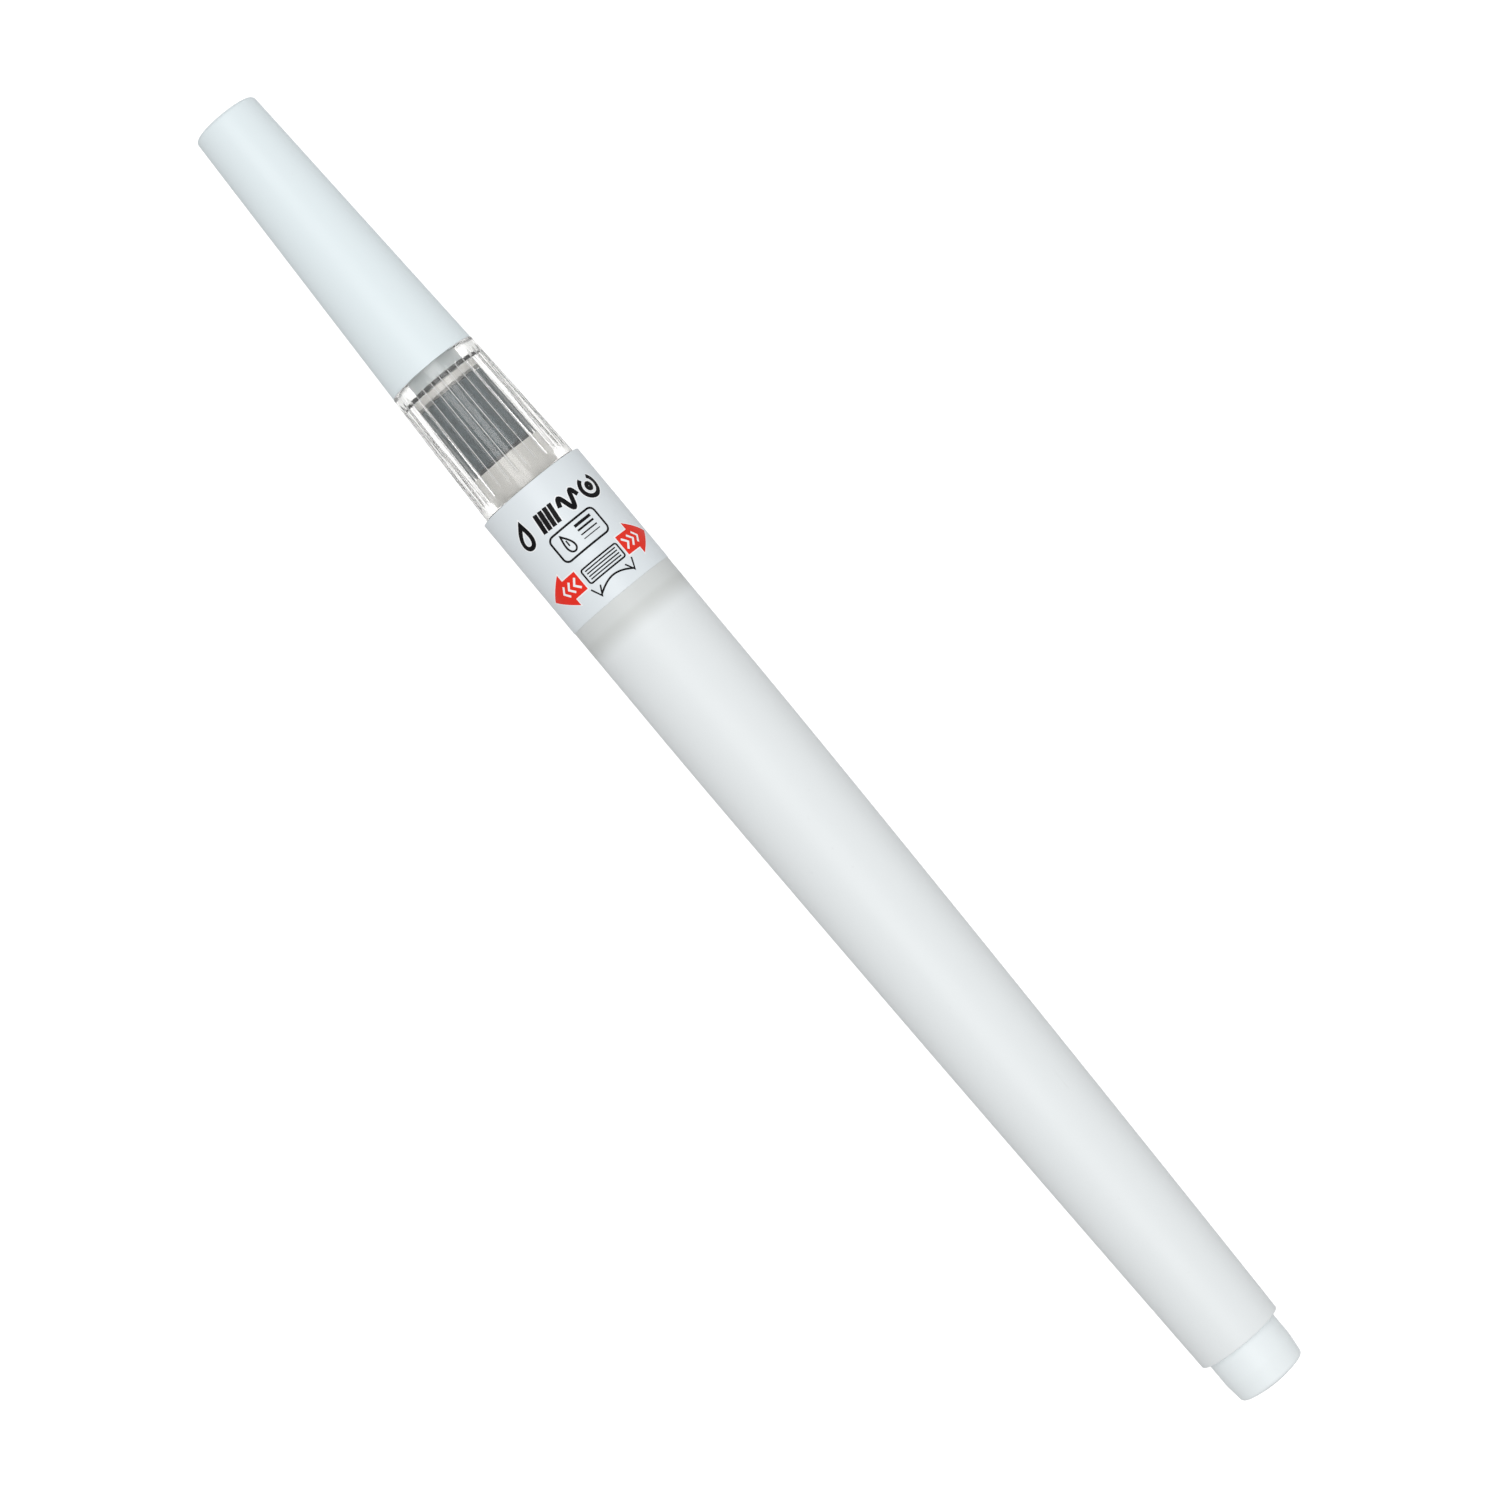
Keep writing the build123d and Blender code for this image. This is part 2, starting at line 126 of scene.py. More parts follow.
def addNode(tree, kind, values=None, **settings):
    node = tree.nodes.new(kind)
    for label, value in settings.items():
        setattr(node, label, value)
    for label, value in (values or {}).items():
        plug(tree, value, node.inputs[label])
    return node


# an input is named with its starting value, or with its kind where it has none
def newTree(name, kind, inputs, outputs):
    tree = bpy.data.node_groups.new(name, kind)
    kinds = {float: "Float", int: "Int", tuple: "Color"}
    for label, value in inputs.items():
        bare = isinstance(value, str)
        socketType = "NodeSocket" + (value if bare else kinds[type(value)])
        socket = tree.interface.new_socket(label, in_out="INPUT", socket_type=socketType)
        if not bare:
            socket.default_value = value
    for label, value in outputs.items():
        tree.interface.new_socket(label, in_out="OUTPUT", socket_type="NodeSocket" + value)
    return tree, tree.nodes.new("NodeGroupInput").outputs, tree.nodes.new("NodeGroupOutput").inputs


def newGeometryTree(name, inputs):
    return newTree(name, "GeometryNodeTree", {"Geometry": "Geometry", **inputs, "Material": "Material"},
                   {"Geometry": "Geometry"})


def calc(tree, operation, *values, clamp=False):
    return addNode(tree, "ShaderNodeMath", dict(enumerate(values)), operation=operation, use_clamp=clamp).outputs[0]


def times(tree, first, second, clamp=False):
    return calc(tree, "MULTIPLY", first, second, clamp=clamp)


def plus(tree, first, second, clamp=False):
    return calc(tree, "ADD", first, second, clamp=clamp)


def minus(tree, first, second, clamp=False):
    return calc(tree, "SUBTRACT", first, second, clamp=clamp)


def over(tree, first, second, clamp=False):
    return calc(tree, "DIVIDE", first, second, clamp=clamp)


def ramp(tree, value, low, high, toLow=0.0, toHigh=1.0):
    limits = {"Value": value, "From Min": low, "From Max": high, "To Min": toLow, "To Max": toHigh}
    return addNode(tree, "ShaderNodeMapRange", limits, interpolation_type="SMOOTHSTEP").outputs[0]


def blendColor(tree, share, first, second):
    return addNode(tree, "ShaderNodeMix", {0: share, 6: first, 7: second}, data_type="RGBA").outputs[2]


def noise(tree, vector, scale, detail=2.0, rough=0.5, stretch=(1, 1, 1)):
    scaled = addNode(tree, "ShaderNodeVectorMath", {0: vector, 1: stretch}, operation="MULTIPLY").outputs[0]
    values = {"Vector": scaled, "Scale": scale, "Detail": detail, "Roughness": rough}
    return addNode(tree, "ShaderNodeTexNoise", values).outputs["Fac"]


def splitPoint(tree, point):
    return addNode(tree, "ShaderNodeSeparateXYZ", {0: point}).outputs


def joinPoint(tree, x, y, z):
    return addNode(tree, "ShaderNodeCombineXYZ", {0: x, 1: y, 2: z}).outputs[0]


# effects that several finishes share
def makeSatinGrain():
    grain = {"broadScale": 140.0, "fineShare": 0.45, "broadShare": 0.55, "spread": (0.3, 0.7)}
    tree, given, made = newTree(
        "satinGrain", "ShaderNodeTree",
        {"Vector": "Vector", "Grain Scale": 4000.0, "Smoothest": 0.3, "Roughest": 0.4},
        {"Roughness": "Float", "Height": "Float"})
    fine = noise(tree, given["Vector"], given["Grain Scale"], 3.0, 0.6)
    broad = noise(tree, given["Vector"], grain["broadScale"], stretch=(0.35, 1, 1))
    share = calc(tree, "MULTIPLY_ADD", fine, grain["fineShare"], times(tree, broad, grain["broadShare"]))
    plug(tree, ramp(tree, share, *grain["spread"], given["Smoothest"], given["Roughest"]), made["Roughness"])
    plug(tree, fine, made["Height"])
    return tree


def makeHandling():
    wear = {"scuffScale": 900.0, "scuffEdge": (0.66, 0.74), "patchScale": 60.0, "patchEdge": (0.5, 0.68),
            "speckScale": 420.0, "speckEdge": (0.035, 0.02)}
    tree, given, made = newTree(
        "handling", "ShaderNodeTree",
        {"Vector": "Vector", "Color": (1, 1, 1, 1), "Mark Color": (0.5, 0.5, 0.5, 1), "Scuffs": 0.3, "Dust": 0.3},
        {"Color": "Color", "Marks": "Float"})
    scratches = noise(tree, given["Vector"], wear["scuffScale"], 4.0, 0.6, (0.12, 1, 1))
    patches = noise(tree, given["Vector"], wear["patchScale"], 1.0)
    worn = times(tree, ramp(tree, scratches, *wear["scuffEdge"]), ramp(tree, patches, *wear["patchEdge"]))
    specks = addNode(tree, "ShaderNodeTexVoronoi", {"Vector": given["Vector"], "Scale": wear["speckScale"]})
    dusty = times(tree, ramp(tree, specks.outputs["Distance"], *wear["speckEdge"]), given["Dust"])
    marks = plus(tree, times(tree, worn, given["Scuffs"]), dusty, clamp=True)
    plug(tree, blendColor(tree, marks, given["Color"], given["Mark Color"]), made["Color"])
    plug(tree, marks, made["Marks"])
    return tree


def makeToneDrift():
    driftEdge = (0.35, 0.68)
    tree, given, made = newTree(
        "toneDrift", "ShaderNodeTree",
        {"Vector": "Vector", "Color": (1, 1, 1, 1), "Second Color": (1, 1, 1, 1), "Scale": 60.0}, {"Color": "Color"})
    drift = noise(tree, given["Vector"], given["Scale"], 3.0, 0.55, (0.3, 1, 1))
    share = ramp(tree, drift, *driftEdge)
    plug(tree, blendColor(tree, share, given["Color"], given["Second Color"]), made["Color"])
    return tree


satinGrain = makeSatinGrain()
handling = makeHandling()
toneDrift = makeToneDrift()


plainLook = {"color": (0.80, 0.80, 0.80), "second": (0.78, 0.78, 0.78), "driftScale": 60.0,
             "markColor": (0.62, 0.63, 0.63), "scuffs": 0.25, "dust": 0.35, "grainScale": 3600.0,
             "rough": (0.3, 0.4), "markRough": 0.15, "bump": 0.25, "bumpDepth": 0.012}


# a moulded or fibrous finish: plainLook with its own changes, and the shader's own constants in fixed
def makeFinish(name, changes, fixed):
    look = {**plainLook, **changes}
    material = bpy.data.materials.new(name)
    material.use_nodes = True
    tree = material.node_tree
    shader = tree.nodes["Principled BSDF"]
    place = tree.nodes.new("ShaderNodeTexCoord").outputs["Object"]
    tones = addNode(tree, "ShaderNodeGroup", {
        "Vector": place, "Color": (*look["color"], 1), "Second Color": (*look["second"], 1),
        "Scale": look["driftScale"]}, node_tree=toneDrift)
    worn = addNode(tree, "ShaderNodeGroup", {
        "Vector": place, "Color": tones.outputs["Color"], "Mark Color": (*look["markColor"], 1),
        "Scuffs": look["scuffs"], "Dust": look["dust"]}, node_tree=handling)
    grain = addNode(tree, "ShaderNodeGroup", {
        "Vector": place, "Grain Scale": look["grainScale"], "Smoothest": look["rough"][0],
        "Roughest": look["rough"][1]}, node_tree=satinGrain)
    rough = calc(tree, "MULTIPLY_ADD", worn.outputs["Marks"], look["markRough"], grain.outputs["Roughness"])
    bump = addNode(tree, "ShaderNodeBump", {"Strength": look["bump"], "Distance": look["bumpDepth"] * mm,
                                            "Height": grain.outputs["Height"]})
    plug(tree, worn.outputs["Color"], shader.inputs["Base Color"])
    plug(tree, rough, shader.inputs["Roughness"])
    plug(tree, bump.outputs["Normal"], shader.inputs["Normal"])
    for label, value in fixed.items():
        shader.inputs[label].default_value = value
    return material


capFinish = makeFinish("capSatin", {"color": (0.79, 0.866, 0.892), "second": (0.78, 0.856, 0.882),
                                    "rough": (0.32, 0.42)}, {"IOR": 1.49, "Specular IOR Level": 0.3})
barrelFinish = makeFinish("barrelFrost", {"color": (0.875, 0.91, 0.92), "second": (0.865, 0.90, 0.91),
                                          "rough": (0.36, 0.46), "bump": 0.3, "bumpDepth": 0.02},
                          {"IOR": 1.5, "Specular IOR Level": 0.3, "Transmission Weight": 0.1})
tailFinish = makeFinish("tailFrost", {"color": (0.84, 0.89, 0.905), "second": (0.83, 0.88, 0.895),
                                      "rough": (0.36, 0.46), "bump": 0.3}, {"IOR": 1.5, "Specular IOR Level": 0.3})
softWhite = makeFinish("softWhite", {"color": (0.74, 0.75, 0.74), "second": (0.71, 0.72, 0.71),
                                     "rough": (0.42, 0.5)}, {"IOR": 1.5})
stemFinish = makeFinish("stemNatural", {"color": (0.78, 0.77, 0.74), "second": (0.75, 0.74, 0.71),
                                        "rough": (0.25, 0.33)}, {"IOR": 1.5})
filmFinish = makeFinish("labelFilm", {"color": (0.755, 0.805, 0.835), "second": (0.745, 0.795, 0.825),
                                      "rough": (0.34, 0.42), "bump": 0.1, "scuffs": 0.15},
                        {"IOR": 1.5, "Coat Weight": 0.1, "Coat Roughness": 0.25})
blackInk = makeFinish("printBlack", {"color": (0.004, 0.004, 0.005), "second": (0.007, 0.007, 0.008),
                                     "markColor": (0.05, 0.05, 0.05), "rough": (0.4, 0.46)},
                       {"IOR": 1.5, "Specular IOR Level": 0.1})
redInk = makeFinish("printRed", {"color": (0.83, 0.026, 0.012), "second": (0.78, 0.03, 0.014),
                                 "markColor": (0.7, 0.2, 0.16), "rough": (0.4, 0.46)},
                     {"IOR": 1.5, "Specular IOR Level": 0.2})
whiteInk = makeFinish("printWhite", {"color": (0.90, 0.92, 0.93), "second": (0.88, 0.90, 0.92),
                                     "rough": (0.3, 0.36)}, {"IOR": 1.5})
sleeveFinish = makeFinish("sleeveFibre", {"color": (0.05, 0.086, 0.101), "second": (0.095, 0.142, 0.164),
                                          "driftScale": 2600.0, "markColor": (0.3, 0.33, 0.35), "dust": 0.3,
                                          "rough": (0.7, 0.85), "bump": 0.6, "bumpDepth": 0.05,
                                          "grainScale": 5200.0}, {"Specular IOR Level": 0.15})
wickFinish = makeFinish("wickFibre", {"color": (0.80, 0.80, 0.77), "second": (0.70, 0.70, 0.67),
                                      "driftScale": 1200.0, "rough": (0.75, 0.9), "bump": 0.6, "bumpDepth": 0.04},
                        {"Sheen Weight": 0.2})
bristleFinish = makeFinish("bristleNylon", {"color": (0.97, 0.97, 0.95), "second": (0.94, 0.93, 0.90),
                                            "driftScale": 700.0, "rough": (0.28, 0.4), "bump": 0.1},
                           {"IOR": 1.53, "Subsurface Weight": 0.15, "Subsurface Scale": 0.0005})
rubberFinish = makeFinish("sealRubber", {"color": (0.02, 0.02, 0.021), "second": (0.03, 0.03, 0.031),
                                         "markColor": (0.12, 0.12, 0.12), "rough": (0.5, 0.65), "bump": 0.3}, {})
steelFinish = makeFinish("ballSteel", {"color": (0.58, 0.59, 0.60), "second": (0.54, 0.55, 0.56),
                                       "markColor": (0.4, 0.4, 0.4), "rough": (0.10, 0.18), "bump": 0.05},
                         {"Metallic": 1.0})
inkFinish = makeFinish("whiteInkFilm", {"color": (0.93, 0.94, 0.94), "second": (0.90, 0.915, 0.92),
                                        "driftScale": 90.0, "rough": (0.25, 0.35), "scuffs": 0.0, "dust": 0.0}, {})
clearFinish = makeFinish("clearPlastic", {"color": (0.985, 0.98, 0.965), "second": (0.975, 0.97, 0.955),
                                          "markColor": (0.80, 0.80, 0.79), "scuffs": 0.0, "dust": 0.0,
                                          "rough": (0.02, 0.04), "markRough": 0.2, "bump": 0.0},
                         {"IOR": 1.46, "Transmission Weight": 0.94})
mistFinish = makeFinish("boreMist", {"color": (0.95, 0.945, 0.92), "second": (0.93, 0.925, 0.90),
                                     "rough": (0.5, 0.6), "scuffs": 0.0, "dust": 0.0}, {"Specular IOR Level": 0.2})
# painted glints: the white of the thin strips in the flute grooves stands in for the glints off the grooves' steep
# walls
glintFinish = makeFinish("paintedGlint", {"color": (0.97, 0.975, 0.97), "second": (0.95, 0.955, 0.95),
                                          "rough": (0.4, 0.5), "scuffs": 0.0, "dust": 0.0, "bump": 0.0},
                          {"Specular IOR Level": 0.3, "Transmission Weight": 0.35})


# painted shade: the frosted wall's colour is greyed in a band over the ink's front and the mouth plug, standing in
# for the shade seen through the wall where no ink lies behind it
def paintShadeBand():
    # bare is the grey of the painted shade; the two ramps below set how strongly it is painted along the pen
    wall = {"bare": (0.61, 0.63, 0.61, 1), "rear": discRear - 2.4, "front": discRear, "fade": 0.7,
            "shadeShare": 0.7, "shadeOverDisc": -0.15}
    tree = barrelFinish.node_tree
    baseColor = tree.nodes["Principled BSDF"].inputs["Base Color"]
    x = splitPoint(tree, tree.nodes.new("ShaderNodeTexCoord").outputs["Object"])[0]
    near = ramp(tree, x, wall["rear"] * mm, wall["front"] * mm, 0.0, wall["shadeShare"])
    past = ramp(tree, x, wall["front"] * mm, (wall["front"] + wall["fade"]) * mm, 0.0, wall["shadeOverDisc"])
    plug(tree, blendColor(tree, plus(tree, near, past), baseColor.links[0].from_socket, wall["bare"]), baseColor)


paintShadeBand()
print("finishes made")


# turned pieces: a closed outline of (x, radius, fillet) in mm, swept round the pen's axis
def filletPath(corners, steps=6):
    path = []
    for i, (x, r, fillet) in enumerate(corners):
        here = Vector((x, r))
        if fillet <= 0:
            path.append(here)
            continue
        back = Vector(corners[i - 1][:2]) - here
        ahead = Vector(corners[(i + 1) % len(corners)][:2]) - here
        half = back.angle(ahead) / 2
        reach = min(fillet / math.tan(half), 0.45 * back.length, 0.45 * ahead.length)
        radius = reach * math.tan(half)
        centre = here + (back.normalized() + ahead.normalized()).normalized() * (radius / math.sin(half))
        start = here + back.normalized() * reach - centre
        end = here + ahead.normalized() * reach - centre
        turn = start.angle_signed(end)
        for k in range(steps + 1):
            angle = -turn * k / steps
            path.append(centre + Vector((start.x * math.cos(angle) - start.y * math.sin(angle),
                                         start.x * math.sin(angle) + start.y * math.cos(angle))))
    return path


def addRows(path, low, high, step, innermost=0.0, outermost=math.inf):
    dense = []
    for a, b in zip(path, path[1:] + path[:1]):
        dense.append(a)
        overlaps = max(a.x, b.x) > low and min(a.x, b.x) < high
        inRange = overlaps and innermost < min(a.y, b.y) <= max(a.y, b.y) < outermost
        if inRange and abs(a.x - b.x) > step:
            parts = math.ceil(abs(a.x - b.x) / step)
            dense += [a.lerp(b, k / parts) for k in range(1, parts)]
    return dense


def smoothOver(mesh, sharpFrom=38):
    mesh.polygons.foreach_set("use_smooth", [True] * len(mesh.polygons))
    mesh.set_sharp_from_angle(angle=math.radians(sharpFrom))


def addPiece(name, mesh, material):
    piece = bpy.data.objects.new(name, mesh)
    mesh.materials.clear()
    mesh.materials.append(material)
    scene.collection.objects.link(piece)
    return piece


def turned(name, path, material, sides=160, sweep=360.0, bearings=None):
    full = sweep >= 360.0
    start = -math.radians(sweep) / 2 + math.pi / 2  # an open sweep leaves its gap at -Z
    bearings = bearings or [start + math.radians(sweep) * k / sides for k in range(sides if full else sides + 1)]
    count = len(bearings)
    points, rings = [], []
    for p in path:
        if p.y < 1e-6:
            rings.append([len(points)] * count)
            points.append((p.x * mm, 0, 0))
            continue
        rings.append(list(range(len(points), len(points) + count)))
        points += [(p.x * mm, p.y * mm * math.cos(a), p.y * mm * math.sin(a)) for a in bearings]
    faces = []
    for one, two in zip(rings, rings[1:] + rings[:1]):
        for k in range(count if full else count - 1):
            j = (k + 1) % count
            corners = [one[k], two[k], two[j], one[j]]
            face = [c for n, c in enumerate(corners) if c != corners[n - 1]]
            if len(face) > 2 and len(set(face)) == len(face):
                faces.append(face)
    if not full:
        faces += [[ring[0] for ring in rings], [ring[-1] for ring in reversed(rings)]]
    mesh = bpy.data.meshes.new(name)
    mesh.from_pydata(points, [], faces)
    work = bmesh.new()
    work.from_mesh(mesh)
    bmesh.ops.recalc_face_normals(work, faces=work.faces)
    work.to_mesh(mesh)
    work.free()
    smoothOver(mesh)
    return addPiece(name, mesh, material)


# runs a geometry node tree on a piece and keeps the plain mesh
def growWith(piece, tree, values, material):
    modifier = piece.modifiers.new(tree.name, "NODES")
    modifier.node_group = tree
    for item in tree.interface.items_tree:
        if item.item_type == "SOCKET" and item.in_out == "INPUT":
            if item.name in values:
                modifier[item.identifier] = values[item.name]
            elif item.name == "Material":
                modifier[item.identifier] = material
    bpy.context.view_layer.update()
    grown = bpy.data.meshes.new_from_object(piece.evaluated_get(bpy.context.evaluated_depsgraph_get()))
    piece.modifiers.remove(modifier)
    piece.data = grown
    grown.name = piece.name
    grown.materials.clear()
    grown.materials.append(material)
    return piece


def polar(tree):
    x, y, z = splitPoint(tree, tree.nodes.new("GeometryNodeInputPosition").outputs[0])
    radius = calc(tree, "SQRT", plus(tree, times(tree, y, y), times(tree, z, z)))
    return x, y, z, radius, calc(tree, "ARCTAN2", z, y)


def closeTree(tree, given, made, geometry):
    real = addNode(tree, "GeometryNodeRealizeInstances", {0: geometry})
    paint = addNode(tree, "GeometryNodeSetMaterial", {"Geometry": real.outputs[0], "Material": given["Material"]})
    plug(tree, paint.outputs[0], made["Geometry"])


def movePoints(tree, given, made, offset):
    move = addNode(tree, "GeometryNodeSetPosition", {"Geometry": given["Geometry"], "Offset": offset})
    closeTree(tree, given, made, move.outputs[0])


# moves each point in or out from the pen's axis by shift, and ends the tree
def pushOut(tree, given, made, shift, y, z, radius):
    sideways = [times(tree, over(tree, part, radius), shift) for part in (y, z)]
    movePoints(tree, given, made, joinPoint(tree, None, *sideways))


def makeFluteTree():
    tree, given, made = newGeometryTree("fluteGrip", {
        "Flutes": 30, "Depth": 0.1, "Half Width": 0.2, "Rear": 0.0, "Front": 1.0, "Run Out": 0.1,
        "Beyond Radius": 1.0})
    x, y, z, radius, angle = polar(tree)
    turns = over(tree, times(tree, angle, given["Flutes"]), math.tau)
    fromMiddle = minus(tree, calc(tree, "FRACT", turns), 0.5)
    pitch = over(tree, times(tree, radius, math.tau), given["Flutes"])
    across = over(tree, times(tree, fromMiddle, pitch), given["Half Width"])
    dip = minus(tree, 1.0, times(tree, across, across), clamp=True)
    rearEnd = plus(tree, given["Rear"], given["Run Out"])
    frontEnd = minus(tree, given["Front"], given["Run Out"])
    within = times(tree, ramp(tree, x, given["Rear"], rearEnd),
                  ramp(tree, x, frontEnd, given["Front"], 1.0, 0.0))
    outside = calc(tree, "GREATER_THAN", radius, given["Beyond Radius"])
    amount = times(tree, times(tree, dip, within), outside)
    shift = times(tree, amount, times(tree, given["Depth"], -1.0))
    pushOut(tree, given, made, shift, y, z, radius)
    return tree


def makeScrewTree():
    fade = 0.25  # the ridge rises and sinks over this share of a turn
    tree, given, made = newGeometryTree("screwRidge", {
        "Pitch": 1.0, "Start": 0.0, "Turns": 3.0, "Height": 0.1, "Base Width": 0.5, "Top Width": 0.2,
        "Wall Radius": 1.0, "Wall Slack": 0.01})
    x, y, z, radius, angle = polar(tree)
    along = over(tree, minus(tree, x, given["Start"]), given["Pitch"])
    helix = minus(tree, along, over(tree, angle, math.tau))
    fromRidge = calc(tree, "ABSOLUTE", minus(tree, calc(tree, "FRACT", helix), 0.5))
    distance = times(tree, fromRidge, given["Pitch"])
    halfBase = times(tree, given["Base Width"], 0.5)
    halfTop = times(tree, given["Top Width"], 0.5)
    ridge = ramp(tree, distance, halfTop, halfBase, 1.0, 0.0)
    fadeStart = minus(tree, given["Turns"], fade)
    within = times(tree, ramp(tree, along, 0.0, fade), ramp(tree, along, fadeStart, given["Turns"], 1.0, 0.0))
    offWall = calc(tree, "ABSOLUTE", minus(tree, radius, given["Wall Radius"]))
    onWall = calc(tree, "LESS_THAN", offWall, given["Wall Slack"])
    amount = times(tree, times(tree, ridge, within), onWall)
    pushOut(tree, given, made, times(tree, amount, given["Height"]), y, z, radius)
    return tree


# repeats a piece round the pen's axis
def makeRoundTree():
    tree, given, made = newGeometryTree("roundThePen", {"Count": 30})
    cloud = addNode(tree, "GeometryNodePoints", {"Count": given["Count"]})
    order = over(tree, tree.nodes.new("GeometryNodeInputIndex").outputs[0], given["Count"])
    spread = addNode(tree, "GeometryNodeInstanceOnPoints", {
        "Points": cloud.outputs[0], "Instance": given["Geometry"],
        "Rotation": joinPoint(tree, times(tree, order, math.tau), None, None)})
    closeTree(tree, given, made, spread.outputs[0])
    return tree


roundTree = makeRoundTree()
fluteTree = makeFluteTree()
screwTree = makeScrewTree()
screw = {"pitch": 2.0, "turns": 3.4, "height": 0.4, "base": 1.0, "top": 0.45, "rear": 26.2}


def cutScrew(piece, material, wallRadius, height, start):
    return growWith(piece, screwTree, {
        "Pitch": screw["pitch"] * mm, "Start": start * mm, "Turns": screw["turns"], "Height": height * mm,
        "Base Width": screw["base"] * mm, "Top Width": screw["top"] * mm, "Wall Radius": wallRadius * mm,
        "Wall Slack": 0.01 * mm}, material)


def stand(piece, body, replaced):
    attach(piece, body)
    if replaced:
        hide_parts(*replaced)
    return piece


# cap: long satin taper with a soft lip and a rounded end
cap = {"mouthRadius": 5.12, "tipRadius": 3.78, "bore": 4.25, "boreDepth": 5.6, "wall": 0.9, "endWall": 1.4,
       "lip": 0.07, "endRound": 0.5, "gateRadius": 0.7, "gateDepth": 0.12}


def capRadius(x):
    share = (x - capRear) / (capFront - capRear)
    return cap["mouthRadius"] + share * (cap["tipRadius"] - cap["mouthRadius"])


def makeCap():
    floorX = capFront - cap["endWall"]
    stepX = capRear + cap["boreDepth"]
    path = filletPath([
        (capRear, cap["bore"], 0.1), (capRear, cap["mouthRadius"], cap["lip"]),
        (capFront, cap["tipRadius"], cap["endRound"]),
        (capFront, cap["gateRadius"], 0.06), (capFront - cap["gateDepth"], cap["gateRadius"] * 0.8, 0.05),
        (capFront - cap["gateDepth"], 0, 0), (floorX, 0, 0), (floorX, capRadius(floorX) - cap["wall"], 0.4),
        (stepX, capRadius(stepX) - cap["wall"], 0.03), (stepX, cap["bore"], 0.1)], 8)
    shell = turned("capShell", addRows(path, capRear, capFront, 1.5), capFinish, 192)
    stand(shell, "cap", ["cap_shell"])
    outside = cap["wall"] + 0.03
    liner = turned("capLiner", filletPath([
        (linerRear, capRadius(linerRear) - outside - 0.5, 0.15), (linerRear, capRadius(linerRear) - outside, 0.15),
        (linerFront, capRadius(linerFront) - outside, 0.5), (linerFront, 0, 0), (linerFront - 0.5, 0, 0),
        (linerFront - 0.5, capRadius(linerFront - 0.5) - outside - 0.5, 0.3)]), softWhite, 96)
    stand(liner, "cap", ["cap_liner"])


makeCap()
print("cap made")

# clear holder: fluted grip, screw skirt behind, snap spigot in front
# the table also sets the width, lift and sink of the strips of painted glint in the flute grooves
holder = {"gripRear": 5.72, "gripFront": 5.16, "edge": 0.12, "skirt": 4.85, "bore": 4.1, "spigot": 4.1, "snap": 0.1,
          "snapHalf": 0.6, "seat": 3.1, "seatLead": 0.5, "flutes": 30, "fluteDepth": 0.07, "fluteHalf": 0.19,
          "margin": 1.2, "runOut": 0.4, "fluteRows": (-1.05, -0.8, -0.45, 0, 0.45, 0.8, 1.05), "landRows": 4,
          "glintWidth": 0.09, "glintLift": 0.004, "glintSink": 0.02, "mist": 0.03, "mistGap": 0.005, "mistRear": 0.4,
          "mistSeat": 0.15, "sleeveGap": 0.1}


def fluteBearings():
    pitch = math.tau / holder["flutes"]
    half = holder["fluteHalf"] / holder["gripFront"]
    land = pitch - 2 * half * holder["fluteRows"][-1]
    bearings = []
    for k in range(holder["flutes"]):
        middle = (k + 0.5) * pitch
        bearings += [middle + half * row for row in holder["fluteRows"]]
        edge = bearings[-1]
        bearings += [edge + land * n / (holder["landRows"] + 1) for n in range(1, holder["landRows"] + 1)]
    return bearings


def makeHolder():
    gripStart = barrelFront + 0.05
    gripEnd = capRear - 0.015
    snapX = (gripEnd + bossFront) / 2
    path = filletPath([
        (skirtRear, holder["bore"], 0.1), (skirtRear, holder["skirt"], 0.25), (gripStart, holder["skirt"], 0.05),
        (gripStart, holder["gripRear"], holder["edge"]), (gripEnd, holder["gripFront"], holder["edge"] / 2),
        (gripEnd, holder["spigot"], 0.1), (snapX - holder["snapHalf"], holder["spigot"], 0.3),
        (snapX, holder["spigot"] + holder["snap"], 0.5), (snapX + holder["snapHalf"], holder["spigot"], 0.3),
        (bossFront, holder["spigot"], 0.2), (bossFront, holder["seat"], 0.05), (noseRear, holder["seat"], 0.05),
        (noseRear - holder["seatLead"], holder["bore"], 0.1)])
    path = addRows(path, gripStart, gripEnd, 0.25, holder["skirt"] + 0.2)
    path = addRows(path, skirtRear, gripStart, 0.1, holder["skirt"] - 0.01, holder["skirt"] + 0.01)
    grip = turned("clearHolder", path, clearFinish, bearings=fluteBearings())
    growWith(grip, fluteTree, {
        "Flutes": holder["flutes"], "Depth": holder["fluteDepth"] * mm, "Half Width": holder["fluteHalf"] * mm,
        "Rear": (gripStart + holder["margin"] - holder["runOut"] / 2) * mm,
        "Front": (gripEnd - holder["margin"] + holder["runOut"] / 2) * mm, "Run Out": holder["runOut"] * mm,
        "Beyond Radius": (holder["skirt"] + 0.3) * mm}, clearFinish)
    cutScrew(grip, clearFinish, holder["skirt"], screw["height"], screw["rear"])
    smoothOver(grip.data, 50)
    stand(grip, "holder", ["clear_holder"])
    makeGrooveGlints(gripStart, gripEnd)
    makeBoreMist()
